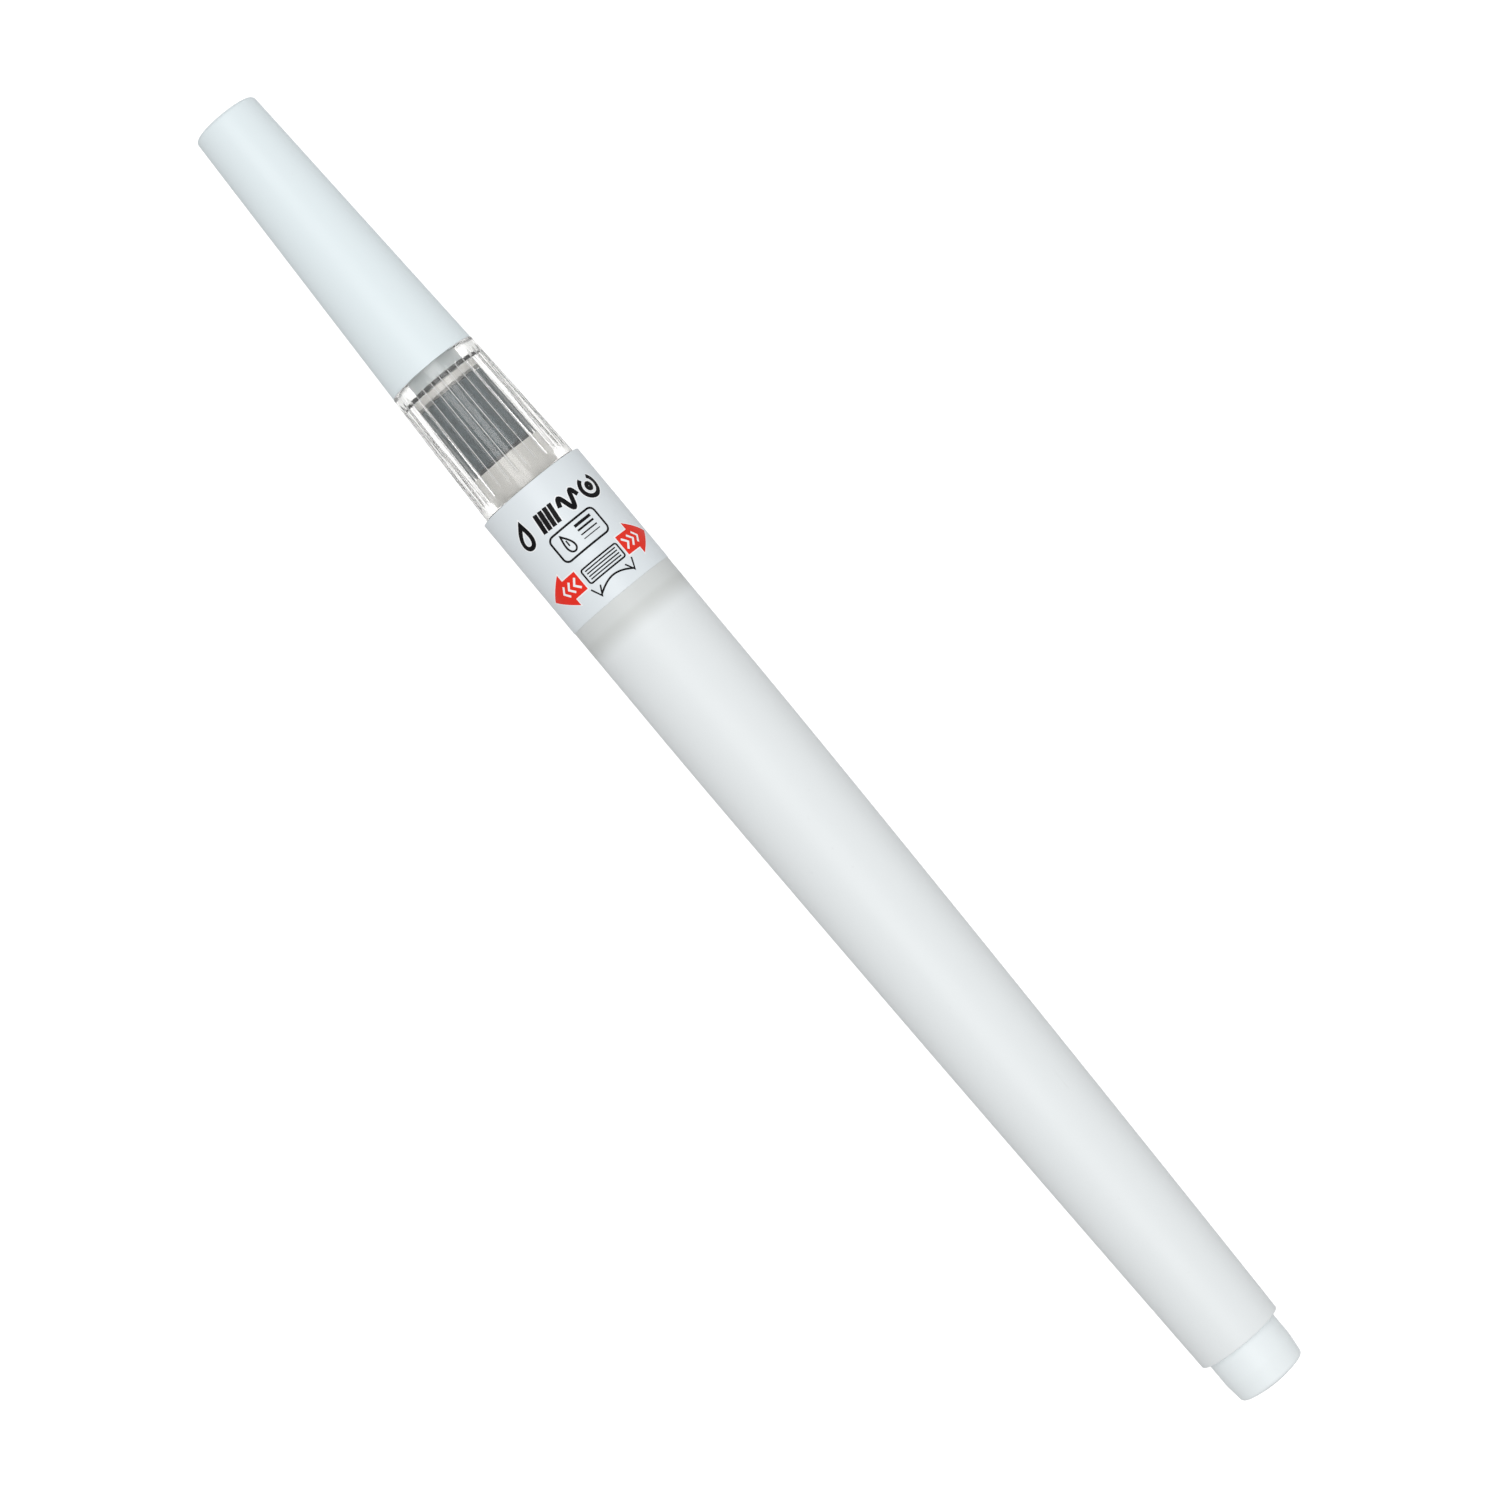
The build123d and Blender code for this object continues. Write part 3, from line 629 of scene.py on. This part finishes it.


# painted glints: thin white strips laid in the groove bottoms stand in for the bright glints that the grooves' steep
# walls give
def makeGrooveGlints(gripStart, gripEnd):
    inset = holder["margin"] + holder["runOut"]
    middle = math.pi / holder["flutes"]
    corners = []
    for x in (gripStart + inset, gripEnd - inset):
        share = (x - gripStart) / (gripEnd - gripStart)
        bottom = holder["gripRear"] + share * (holder["gripFront"] - holder["gripRear"]) - holder["fluteDepth"]
        for side, height in ((-1, -holder["glintSink"]), (1, -holder["glintSink"]),
                             (1, holder["glintLift"]), (-1, holder["glintLift"])):
            angle = middle + side * holder["glintWidth"] / 2 / bottom
            radius = bottom + height
            corners.append((x * mm, radius * mm * math.cos(angle), radius * mm * math.sin(angle)))
    mesh = bpy.data.meshes.new("paintedGrooveGlints")
    sides = [(k, (k + 1) % 4, (k + 1) % 4 + 4, k + 4) for k in range(4)]
    mesh.from_pydata(corners, [], [(3, 2, 1, 0), (4, 5, 6, 7), *sides])
    glints = addPiece("paintedGrooveGlints", mesh, glintFinish)
    growWith(glints, roundTree, {"Count": holder["flutes"]}, glintFinish)
    stand(glints, "holder", [])


# the bore is matt and milky, except where the wet sleeve lies against it
def makeBoreMist():
    outer = holder["bore"] - holder["mistGap"]
    inner = outer - holder["mist"]
    spans = ((skirtRear + holder["mistRear"], sleeveRear - holder["sleeveGap"]),
             (sleeveFront + holder["sleeveGap"], noseRear - holder["seatLead"] - holder["mistSeat"]))
    for name, (low, high) in zip(("boreMistRear", "boreMistFront"), spans):
        path = filletPath([(low, inner, 0), (low, outer, 0), (high, outer, 0), (high, inner, 0)])
        stand(turned(name, path, mistFinish, 120), "holder", [])


makeHolder()
print("clear holder made")

# nose cone, which keeps the brush in
nose = {"flange": 3.9, "flangeWidth": 0.8, "rear": 3.15, "front": 2.1, "seat": 3.1, "bore": 1.76, "step": 53.66,
        "rearBore": 2.36}


def makeNose():
    flangeFront = bossFront + nose["flangeWidth"]
    path = filletPath([
        (noseRear, nose["rearBore"], 0.05), (noseRear, nose["seat"], 0.15), (bossFront, nose["seat"], 0.03),
        (bossFront, nose["flange"], 0.12), (flangeFront, nose["flange"], 0.2), (flangeFront, nose["rear"], 0.25),
        (noseFront, nose["front"], 0.22), (noseFront, nose["bore"], 0.08), (nose["step"], nose["bore"], 0.05),
        (nose["step"], nose["rearBore"], 0.05)])
    cone = turned("noseCone", path, capFinish, 128)
    stand(cone, "holder", ["nose_cone"])


makeNose()
print("nose cone made")

# barrel: frosted, with the ink against its wall
barrel = {"radius": 6.2, "rearRadius": 4.9, "taperFrom": 6.0, "taperPower": 1.416, "wall": 1.1, "recess": 6.15,
          "mouthBore": 5.4, "tailBore": 3.5, "tailFloor": -70.0, "inkShoulder": 3.0, "inkGap": 0.02, "inkWall": 0.05}


def barrelRadius(x):
    share = max(0.0, (barrel["taperFrom"] - x) / (barrel["taperFrom"] - barrelRear))
    return barrel["radius"] - (barrel["radius"] - barrel["rearRadius"]) * share ** barrel["taperPower"]


def taperCorners(low, high, inset, step=3.0):
    parts = math.ceil((high - low) / step)
    stations = [low + (high - low) * k / parts for k in range(1, parts)]
    return [(x, barrelRadius(x) - inset, 0) for x in stations]


def makeBarrel():
    neck = barrel["tailFloor"] + 1.5
    outside = taperCorners(barrelRear, barrel["taperFrom"], 0)
    inside = taperCorners(neck, barrel["taperFrom"], barrel["wall"])
    innerWall = barrel["radius"] - barrel["wall"]
    path = filletPath([
        (barrelRear, barrel["tailBore"], 0.1), (barrelRear, barrel["rearRadius"], 0.1), *outside,
        (barrel["taperFrom"], barrel["radius"], 0), (labelRear, barrel["radius"], 0.02),
        (labelRear, barrel["recess"], 0), (barrelFront, barrel["recess"], 0.15),
        (barrelFront, barrel["mouthBore"], 0.15), (discRear, barrel["mouthBore"], 0), (discRear, innerWall, 0.1),
        (barrel["taperFrom"], innerWall, 0), *reversed(inside), (neck, barrel["tailBore"] + 0.7, 0.5),
        (neck - 1.0, barrel["tailBore"], 0.3)])
    path = addRows(path, discRear, barrelFront, 0.11, barrel["mouthBore"] - 0.01, barrel["mouthBore"] + 0.01)
    tube = turned("barrelTube", path, barrelFinish, 192)
    cutScrew(tube, barrelFinish, barrel["mouthBore"], -screw["height"], screw["rear"] + screw["pitch"] / 2)
    smoothOver(tube.data)
    stand(tube, "barrel", ["barrel"])


def makeInk():
    inset = barrel["wall"] + barrel["inkGap"]
    inner = inset + barrel["inkWall"]
    front = discRear - 0.05
    rear = barrel["tailFloor"] + 1.6
    flat = barrel["radius"]
    path = filletPath([
        (front, 1.9, 0), (front, flat - inset, barrel["inkShoulder"]), (barrel["taperFrom"], flat - inset, 0),
        *reversed(taperCorners(rear, barrel["taperFrom"], inset)), (rear, barrelRadius(rear) - inset, 0.6),
        (rear, 0, 0), (rear + 0.1, 0, 0), (rear + 0.1, barrelRadius(rear) - inner, 0.5),
        *taperCorners(rear, barrel["taperFrom"], inner), (barrel["taperFrom"], flat - inner, 0),
        (front - 0.1, flat - inner, barrel["inkShoulder"]), (front - 0.1, 1.9, 0)], 8)
    stand(turned("whiteInk", path, inkFinish, 128), "barrel", [])


def makeTail():
    tail = {"spigot": 4.2, "spigotLength": 3.0, "end": 3.95, "dome": 0.6, "edge": 0.45, "floor": -82.0, "hollow": 2.6}
    domeX = plugRear + tail["dome"]
    rings = 6
    dome = [tail["end"] * k / rings for k in range(1, rings)]
    path = filletPath([
        (plugRear, 0, 0), *[(plugRear + tail["dome"] * (r / tail["end"]) ** 2, r, 0) for r in dome],
        (domeX, tail["end"], tail["edge"]), (barrelRear - tail["spigotLength"], tail["spigot"], 0.1),
        (barrelRear, tail["spigot"], 0.05), (barrelRear, barrel["tailBore"], 0.05),
        (plugFront, barrel["tailBore"], 0.2), (plugFront, tail["hollow"], 0.1), (tail["floor"], tail["hollow"], 0.3),
        (tail["floor"], 0, 0)])
    stand(turned("tailPlug", path, tailFinish, 160), "barrel", ["tail_plug"])


makeBarrel()
makeInk()
makeTail()
print("barrel, ink and tail made")


# stem and sleeve, whose cut ends are frayed
def makeFrayTree():
    fray = {"least": 0.2, "most": 0.7, "slope": 0.45, "fineScale": 2600.0, "fineDepth": 0.9}
    tree, given, made = newGeometryTree("frayedEnds", {
        "Rear": 0.0, "Front": 1.0, "Reach": 0.1, "Tufts": 30, "Seed": 1})
    x, y, z, radius, angle = polar(tree)
    lot = over(tree, times(tree, angle, given["Tufts"]), math.tau)
    tuftNumber = plus(tree, calc(tree, "FLOOR", lot), 100.0)
    chance = addNode(tree, "FunctionNodeRandomValue", {2: fray["least"], 3: fray["most"], "ID": tuftNumber,
                                                       "Seed": given["Seed"]}, data_type="FLOAT")
    slope = calc(tree, "MULTIPLY_ADD", calc(tree, "FRACT", lot), fray["slope"], chance.outputs[1])
    place = tree.nodes.new("GeometryNodeInputPosition").outputs[0]
    ripple = noise(tree, place, fray["fineScale"], 2.0, 0.6, (0.0, 1, 1))
    fine = times(tree, minus(tree, ripple, 0.5), fray["fineDepth"])
    amount = times(tree, plus(tree, slope, fine), given["Reach"])
    middle = times(tree, plus(tree, given["Rear"], given["Front"]), 0.5)
    inward = times(tree, calc(tree, "SIGN", minus(tree, middle, x)), amount)
    movePoints(tree, given, made, joinPoint(tree, inward, None, None))
    return tree


def makeInside():
    stem = {"way": 0.8, "tube": 1.7, "flange": 3.5, "flangeRear": 29.3, "flangeFront": 30.4, "stop": 3.0,
            "stopWidth": 0.8, "front": 2.3, "frontRear": 50.6}
    stopRear = sleeveRear - stem["stopWidth"]
    path = filletPath([
        (stemRear, stem["way"], 0), (stemRear, stem["tube"], 0.15), (stem["flangeRear"], stem["tube"], 0.1),
        (stem["flangeRear"], stem["flange"], 0.12), (stem["flangeFront"], stem["flange"], 0.12),
        (stem["flangeFront"], stem["tube"], 0.2), (stopRear, stem["tube"], 0.2), (stopRear, stem["stop"], 0.12),
        (sleeveRear, stem["stop"], 0.12), (sleeveRear, stem["tube"], 0.05), (stem["frontRear"], stem["tube"], 0.2),
        (stem["frontRear"], stem["front"], 0.12), (stemFront, stem["front"], 0.1), (stemFront, stem["way"], 0.05)])
    stand(turned("feedStem", path, stemFinish, 96), "brush_unit", ["feed_stem"])
    outer = outerRadius("ink_buffer") + 0.08
    sleeve = turned("inkSleeve", filletPath([
        (sleeveRear, stem["tube"] + 0.02, 0.05), (sleeveRear, outer - 0.02, 0.25), (sleeveFront, outer - 0.02, 0.25),
        (sleeveFront, stem["tube"] + 0.02, 0.05)]), sleeveFinish, 360)
    growWith(sleeve, makeFrayTree(), {"Rear": sleeveRear * mm, "Front": sleeveFront * mm, "Reach": 0.45 * mm,
                                      "Tufts": 30, "Seed": 5}, sleeveFinish)
    smoothOver(sleeve.data)
    stand(sleeve, "brush_unit", ["ink_buffer"])


makeInside()


def makeTuftTree():
    bristle = {"shortBy": (0.02, 0.30), "taperPower": 0.72, "twist": 0.25, "thinFrom": 0.45, "tipShare": 0.12}
    tree, given, made = newGeometryTree("brushTuft", {
        "Strands": 420, "Points": 9, "Root": 0.0, "Tip": 1.0, "Throat": 0.5, "Throat Radius": 0.1, "Belly": 1.2,
        "Strand Radius": 0.01, "Unevenness": 0.08, "Seed": 3})
    line = tree.nodes.new("GeometryNodeCurvePrimitiveLine")
    resample = addNode(tree, "GeometryNodeResampleCurve", {"Curve": line.outputs[0], "Count": given["Points"]})
    cloud = addNode(tree, "GeometryNodePoints", {"Count": given["Strands"]})
    spread = addNode(tree, "GeometryNodeInstanceOnPoints", {"Points": cloud.outputs[0],
                                                            "Instance": resample.outputs[0]})
    strands = addNode(tree, "GeometryNodeRealizeInstances", {0: spread.outputs[0]})
    index = tree.nodes.new("GeometryNodeInputIndex").outputs[0]
    strand = calc(tree, "FLOOR", over(tree, plus(tree, index, 0.5), given["Points"]))
    order = minus(tree, index, times(tree, strand, given["Points"]))
    share = over(tree, order, minus(tree, given["Points"], 1.0))

    def chance(low, high, offset):
        values = {2: low, 3: high, "ID": strand, "Seed": plus(tree, given["Seed"], offset)}
        return addNode(tree, "FunctionNodeRandomValue", values, data_type="FLOAT").outputs[1]

    # golden-angle spread over the root's disc, inner strands reach furthest
    outward = calc(tree, "SQRT", over(tree, plus(tree, strand, 0.5), given["Strands"]))
    bearing = times(tree, strand, math.pi * (3 - math.sqrt(5)))
    shortBy = times(tree, times(tree, outward, outward), chance(*bristle["shortBy"], 1))
    reach = times(tree, share, minus(tree, 1.0, shortBy))
    length = minus(tree, given["Tip"], given["Root"])
    x = calc(tree, "MULTIPLY_ADD", reach, length, given["Root"])
    free = over(tree, minus(tree, x, given["Throat"]),
                minus(tree, given["Tip"], given["Throat"]), clamp=True)
    taper = calc(tree, "POWER", minus(tree, 1.0, free), bristle["taperPower"])
    swell = calc(tree, "MULTIPLY_ADD", free, given["Belly"], 1.0)
    around = times(tree, times(tree, taper, swell), given["Throat Radius"])
    wander = times(tree, times(tree, chance(-1.0, 1.0, 2), free), given["Unevenness"])
    distance = times(tree, times(tree, around, outward), plus(tree, wander, 1.0))
    twist = calc(tree, "MULTIPLY_ADD", times(tree, free, chance(-1.0, 1.0, 3)), bristle["twist"], bearing)
    place = joinPoint(tree, x, times(tree, distance, calc(tree, "COSINE", twist)),
                      times(tree, distance, calc(tree, "SINE", twist)))
    move = addNode(tree, "GeometryNodeSetPosition", {"Geometry": strands.outputs[0], "Position": place})
    thickness = ramp(tree, share, bristle["thinFrom"], 1.0, 1.0, bristle["tipShare"])
    thin = addNode(tree, "GeometryNodeSetCurveRadius", {"Curve": move.outputs[0], "Radius": thickness})
    ring = addNode(tree, "GeometryNodeCurvePrimitiveCircle", {"Resolution": 4, "Radius": given["Strand Radius"]})
    skin = addNode(tree, "GeometryNodeCurveToMesh", {"Curve": thin.outputs[0], "Profile Curve": ring.outputs[0],
                                                     "Fill Caps": True})
    if "Scale" in skin.inputs:
        plug(tree, tree.nodes.new("GeometryNodeInputRadius").outputs[0], skin.inputs["Scale"])
    closeTree(tree, given, made, skin.outputs[0])
    return tree


def makeTuft():
    tuft = {"strands": 460, "points": 9, "throat": 63.4, "throatRadius": 1.08, "belly": 1.55, "strand": 0.045,
            "rootDepth": 4.8, "unevenness": 0.06}
    piece = addPiece("brushTuft", bpy.data.meshes.new("brushTuft"), bristleFinish)
    growWith(piece, makeTuftTree(), {
        "Strands": tuft["strands"], "Points": tuft["points"], "Root": (tuftRear + tuft["rootDepth"]) * mm,
        "Tip": tuftTip * mm, "Throat": tuft["throat"] * mm, "Throat Radius": tuft["throatRadius"] * mm,
        "Belly": tuft["belly"],
        "Strand Radius": tuft["strand"] * mm, "Unevenness": tuft["unevenness"], "Seed": 11}, bristleFinish)
    smoothOver(piece.data, 180)
    stand(piece, "brush_unit", ["bristle_tuft"])


makeTuft()
for name, finish in (("mouth_plug", softWhite), ("seal_ring", rubberFinish), ("relay_wick", wickFinish),
                     ("brush_collar", stemFinish), ("mixing_ball", steelFinish)):
    nodes[name].data.materials.clear()
    nodes[name].data.materials.append(finish)
print("inner pieces made")

# label: film round the barrel's mouth, with plain pictograms printed on it
label = {"wrap": 354.0, "lift": 0.012, "cell": 0.25, "halo": 0.26, "bold": 0.5, "shift": 0.62, "titleRow": 3.3,
         "titleStep": 3.05, "shaftRow": -3.8, "turnRow": -5.75,
         "cardLines": ((0.9, 0.32), (0.35, 0.22), (-0.2, 0.15), (-0.7, 0.10)), "cardLineSpan": (0.1, 2.2),
         "shaftLines": (-0.5, -0.17, 0.17, 0.5),
         "arrow": {"row": -3.65, "tail": 2.83, "shaft": 1.13, "shaftLong": 1.8, "head": 1.95, "headLong": 3.0,
                   "rim": 0.14}}
filmRadius = outerRadius("label_wrap")


def makeFilm():
    path = filletPath([(labelRear, barrel["recess"], 0), (labelRear, filmRadius, 0.03),
                       (labelFront, filmRadius, 0.03), (labelFront, barrel["recess"], 0)], 3)
    stand(turned("labelFilm", path, filmFinish, 192, label["wrap"]), "barrel", ["label_wrap"])


# marks are drawn flat, as (along, across) in mm from the label's middle, then cut into narrow cells and wrapped
def strip(points, width, closed=False):
    left, right = [], []
    count = len(points)
    for i, p in enumerate(points):
        here = Vector(p)
        before = Vector(points[i - 1]) if closed or i else here * 2 - Vector(points[1])
        after = Vector(points[(i + 1) % count]) if closed or i < count - 1 else here * 2 - Vector(points[-2])
        one, two = (here - before).normalized(), (after - here).normalized()
        bisector = (one + two).normalized()
        side = Vector((-bisector.y, bisector.x)) * (width / 2 / max(0.5, bisector.dot(two)))
        left.append(here + side)
        right.append(here - side)
    pairs = count if closed else count - 1
    return [[left[i], left[(i + 1) % count], right[(i + 1) % count], right[i]] for i in range(pairs)]


def wrapMarks(name, faces, material, level):
    work = bmesh.new()
    for face in faces:
        work.faces.new([work.verts.new((p[0], p[1], 0)) for p in face])
    bmesh.ops.remove_doubles(work, verts=work.verts, dist=0.002)
    widest = max(abs(v.co.y) for v in work.verts)
    k = -widest
    while k < widest:
        everything = work.verts[:] + work.edges[:] + work.faces[:]
        bmesh.ops.bisect_plane(work, geom=everything, plane_co=(0, k, 0), plane_no=(0, 1, 0))
        k += label["cell"]
    bmesh.ops.triangulate(work, faces=work.faces)
    bmesh.ops.recalc_face_normals(work, faces=work.faces)
    for face in work.faces:
        if face.normal.z < 0:
            face.normal_flip()
    solid = bmesh.ops.extrude_face_region(work, geom=work.faces[:])
    for v in solid["geom"]:
        if isinstance(v, bmesh.types.BMVert):
            v.co.z = 1.0
    middle = (labelRear + labelFront) / 2
    inner = filmRadius + 0.002
    for v in work.verts:
        radius = inner + label["lift"] * level if v.co.z > 0.5 else inner
        angle = v.co.y / filmRadius
        v.co = Vector(((middle + v.co.x) * mm, -radius * math.sin(angle) * mm, radius * math.cos(angle) * mm))
    bmesh.ops.recalc_face_normals(work, faces=work.faces)
    mesh = bpy.data.meshes.new(name)
    work.to_mesh(mesh)
    work.free()
    return stand(addPiece(name, mesh, material), "barrel", [])


def shifted(points, along, across, turn=0.0):
    c, s = math.cos(turn), math.sin(turn)
    return [(along + x * c - y * s, across + x * s + y * c) for x, y in points]


def arc(radius, start, end, steps=24):
    return [(radius * math.cos(math.radians(start + (end - start) * k / steps)),
             radius * math.sin(math.radians(start + (end - start) * k / steps))) for k in range(steps + 1)]


def roundFrame(length, width, corner):
    points = []
    for cx, cy, start in ((1, 1, 0), (-1, 1, 90), (-1, -1, 180), (1, -1, 270)):
        points += shifted(arc(corner, start, start + 90, 5), cx * (length / 2 - corner), cy * (width / 2 - corner))
    return points


def dropShape(size, narrow=0.55):
    return [(size * math.cos(t), size * narrow * math.sin(t) * math.sin(t / 2) ** 1.3)
            for t in (math.tau * k / 32 for k in range(32))]


def makeMarks():
    bold, fine = label["bold"], []
    row, step = label["titleRow"], label["titleStep"]
    places = [label["shift"] + step * k for k in (-1.5, -0.5, 0.5, 1.5)]
    bars = [shifted([(-1.1, -0.95 + 0.62 * k), (1.1, -0.7 + 0.62 * k)], row, places[1]) for k in range(4)]
    wave = [(0.85 * math.sin(math.tau * 1.5 * k / 30), -1.2 + 2.4 * k / 30) for k in range(31)]
    title = [(shifted(dropShape(1.3, 0.7), row, places[0], 0.3), True), *[(bar, False) for bar in bars],
             (shifted(wave, row, places[2]), False), (shifted(arc(1.15, 30, 330), row, places[3]), False),
             (shifted(arc(0.3, 0, 345, 12), row, places[3]), True)]
    middle = label["shift"] + 0.1
    fine += [(shifted(roundFrame(3.1, 5.9, 0.6), 0.0, middle), True, 0.22),
             (shifted(dropShape(1.05, 0.6), 0.0, middle - 1.5, -0.2), True, 0.2),
             (shifted([(-0.2, 0.0), (0.45, 0.0)], -0.1, middle - 1.5), False, 0.16)]
    start, end = label["cardLineSpan"]
    fine += [(shifted([(along, start), (along, end)], 0.0, middle), False, width)
             for along, width in label["cardLines"]]
    shaft = label["shaftRow"]
    fine += [(shifted(roundFrame(1.7, 4.7, 0.25), shaft, middle), True, 0.18)]
    fine += [(shifted([(along, -2.0), (along, 2.0)], shaft, middle), False, 0.14)
             for along in label["shaftLines"]]
    turn = label["turnRow"]
    bow = [(0.8 * math.cos(math.pi * t) - 0.4, 2.3 * t * 1.9) for t in (-0.5 + k / 24 for k in range(25))]
    fine += [(shifted(bow, turn, middle), False, 0.2)]
    for side in (-1, 1):
        head = [(0.55, -0.55 * side), (-0.42, 0.0), (0.75, 0.55 * side)]
        fine += [(shifted(head, turn - 0.1, middle + 2.2 * side), False, 0.17)]
    halos = [face for points, closed in title for face in strip(points, bold + label["halo"], closed)]
    blacks = [face for points, closed in title for face in strip(points, bold, closed)]
    blacks += [face for points, closed, width in fine for face in strip(points, width, closed)]
    return halos, blacks


def arrowShape(grow, side):
    arrow = label["arrow"]
    neck = arrow["shaftLong"]
    points = [(0, neck + arrow["headLong"] + grow * 1.6), (arrow["head"] + grow * 1.4, neck - grow),
              (arrow["shaft"] + grow, neck - grow), (arrow["shaft"] + grow, -grow), (-arrow["shaft"] - grow, -grow),
              (-arrow["shaft"] - grow, neck - grow), (-arrow["head"] - grow * 1.4, neck - grow)]
    return [(x, y * side) for x, y in points]


def makeArrows():
    arrow = label["arrow"]
    sides = [(side, label["shift"] + side * arrow["tail"]) for side in (-1, 1)]
    reds = [shifted(arrowShape(0.0, side), arrow["row"], across) for side, across in sides]
    pale = [shifted(arrowShape(arrow["rim"], side), arrow["row"], across) for side, across in sides]
    chevrons = []
    for side, across in sides:
        for k in range(3):
            bend = [(0.62, -0.35 * side), (0.0, 0.2 * side), (-0.62, -0.35 * side)]
            chevrons += strip(shifted(bend, arrow["row"], across + side * (0.75 + 0.85 * k)), 0.24)
    return reds, pale, chevrons


makeFilm()
haloFaces, blackFaces = makeMarks()
redFaces, paleFaces, chevronFaces = makeArrows()
wrapMarks("labelHalo", haloFaces, whiteInk, 0.5)
wrapMarks("labelArrowRim", paleFaces, whiteInk, 0.5)
wrapMarks("labelBlack", blackFaces, blackInk, 1.0)
wrapMarks("labelArrows", redFaces, redInk, 1.0)
wrapMarks("labelChevrons", chevronFaces, whiteInk, 1.5)
print("label made")


# floor under the pen
def makeFloor():
    material = bpy.data.materials.new("paleFloor")
    material.use_nodes = True
    shader = material.node_tree.nodes["Principled BSDF"]
    shader.inputs["Base Color"].default_value = (*studio["floorColor"], 1)
    shader.inputs["Roughness"].default_value = studio["floorRough"]
    shader.inputs["Emission Color"].default_value = (1, 1, 1, 1)
    tree = material.node_tree
    ray = tree.nodes.new("ShaderNodeLightPath").outputs
    seen = calc(tree, "MAXIMUM", ray["Is Camera Ray"], ray["Is Transmission Ray"])
    glow = ramp(tree, seen, 0.0, 1.0, studio["bounceGlow"], studio["seenGlow"])  # white to look at, dimmer as bounce
    plug(tree, glow, shader.inputs["Emission Strength"])
    half = studio["floorSize"] / 2
    mesh = bpy.data.meshes.new("floor")
    height = cadLow.z - studio["floorGap"] * mm
    mesh.from_pydata([(-half, -half, height), (half, -half, height), (half, half, height), (-half, half, height)],
                     [], [(0, 1, 2, 3)])
    addPiece("floor", mesh, material)


makeFloor()
print("pen ready")
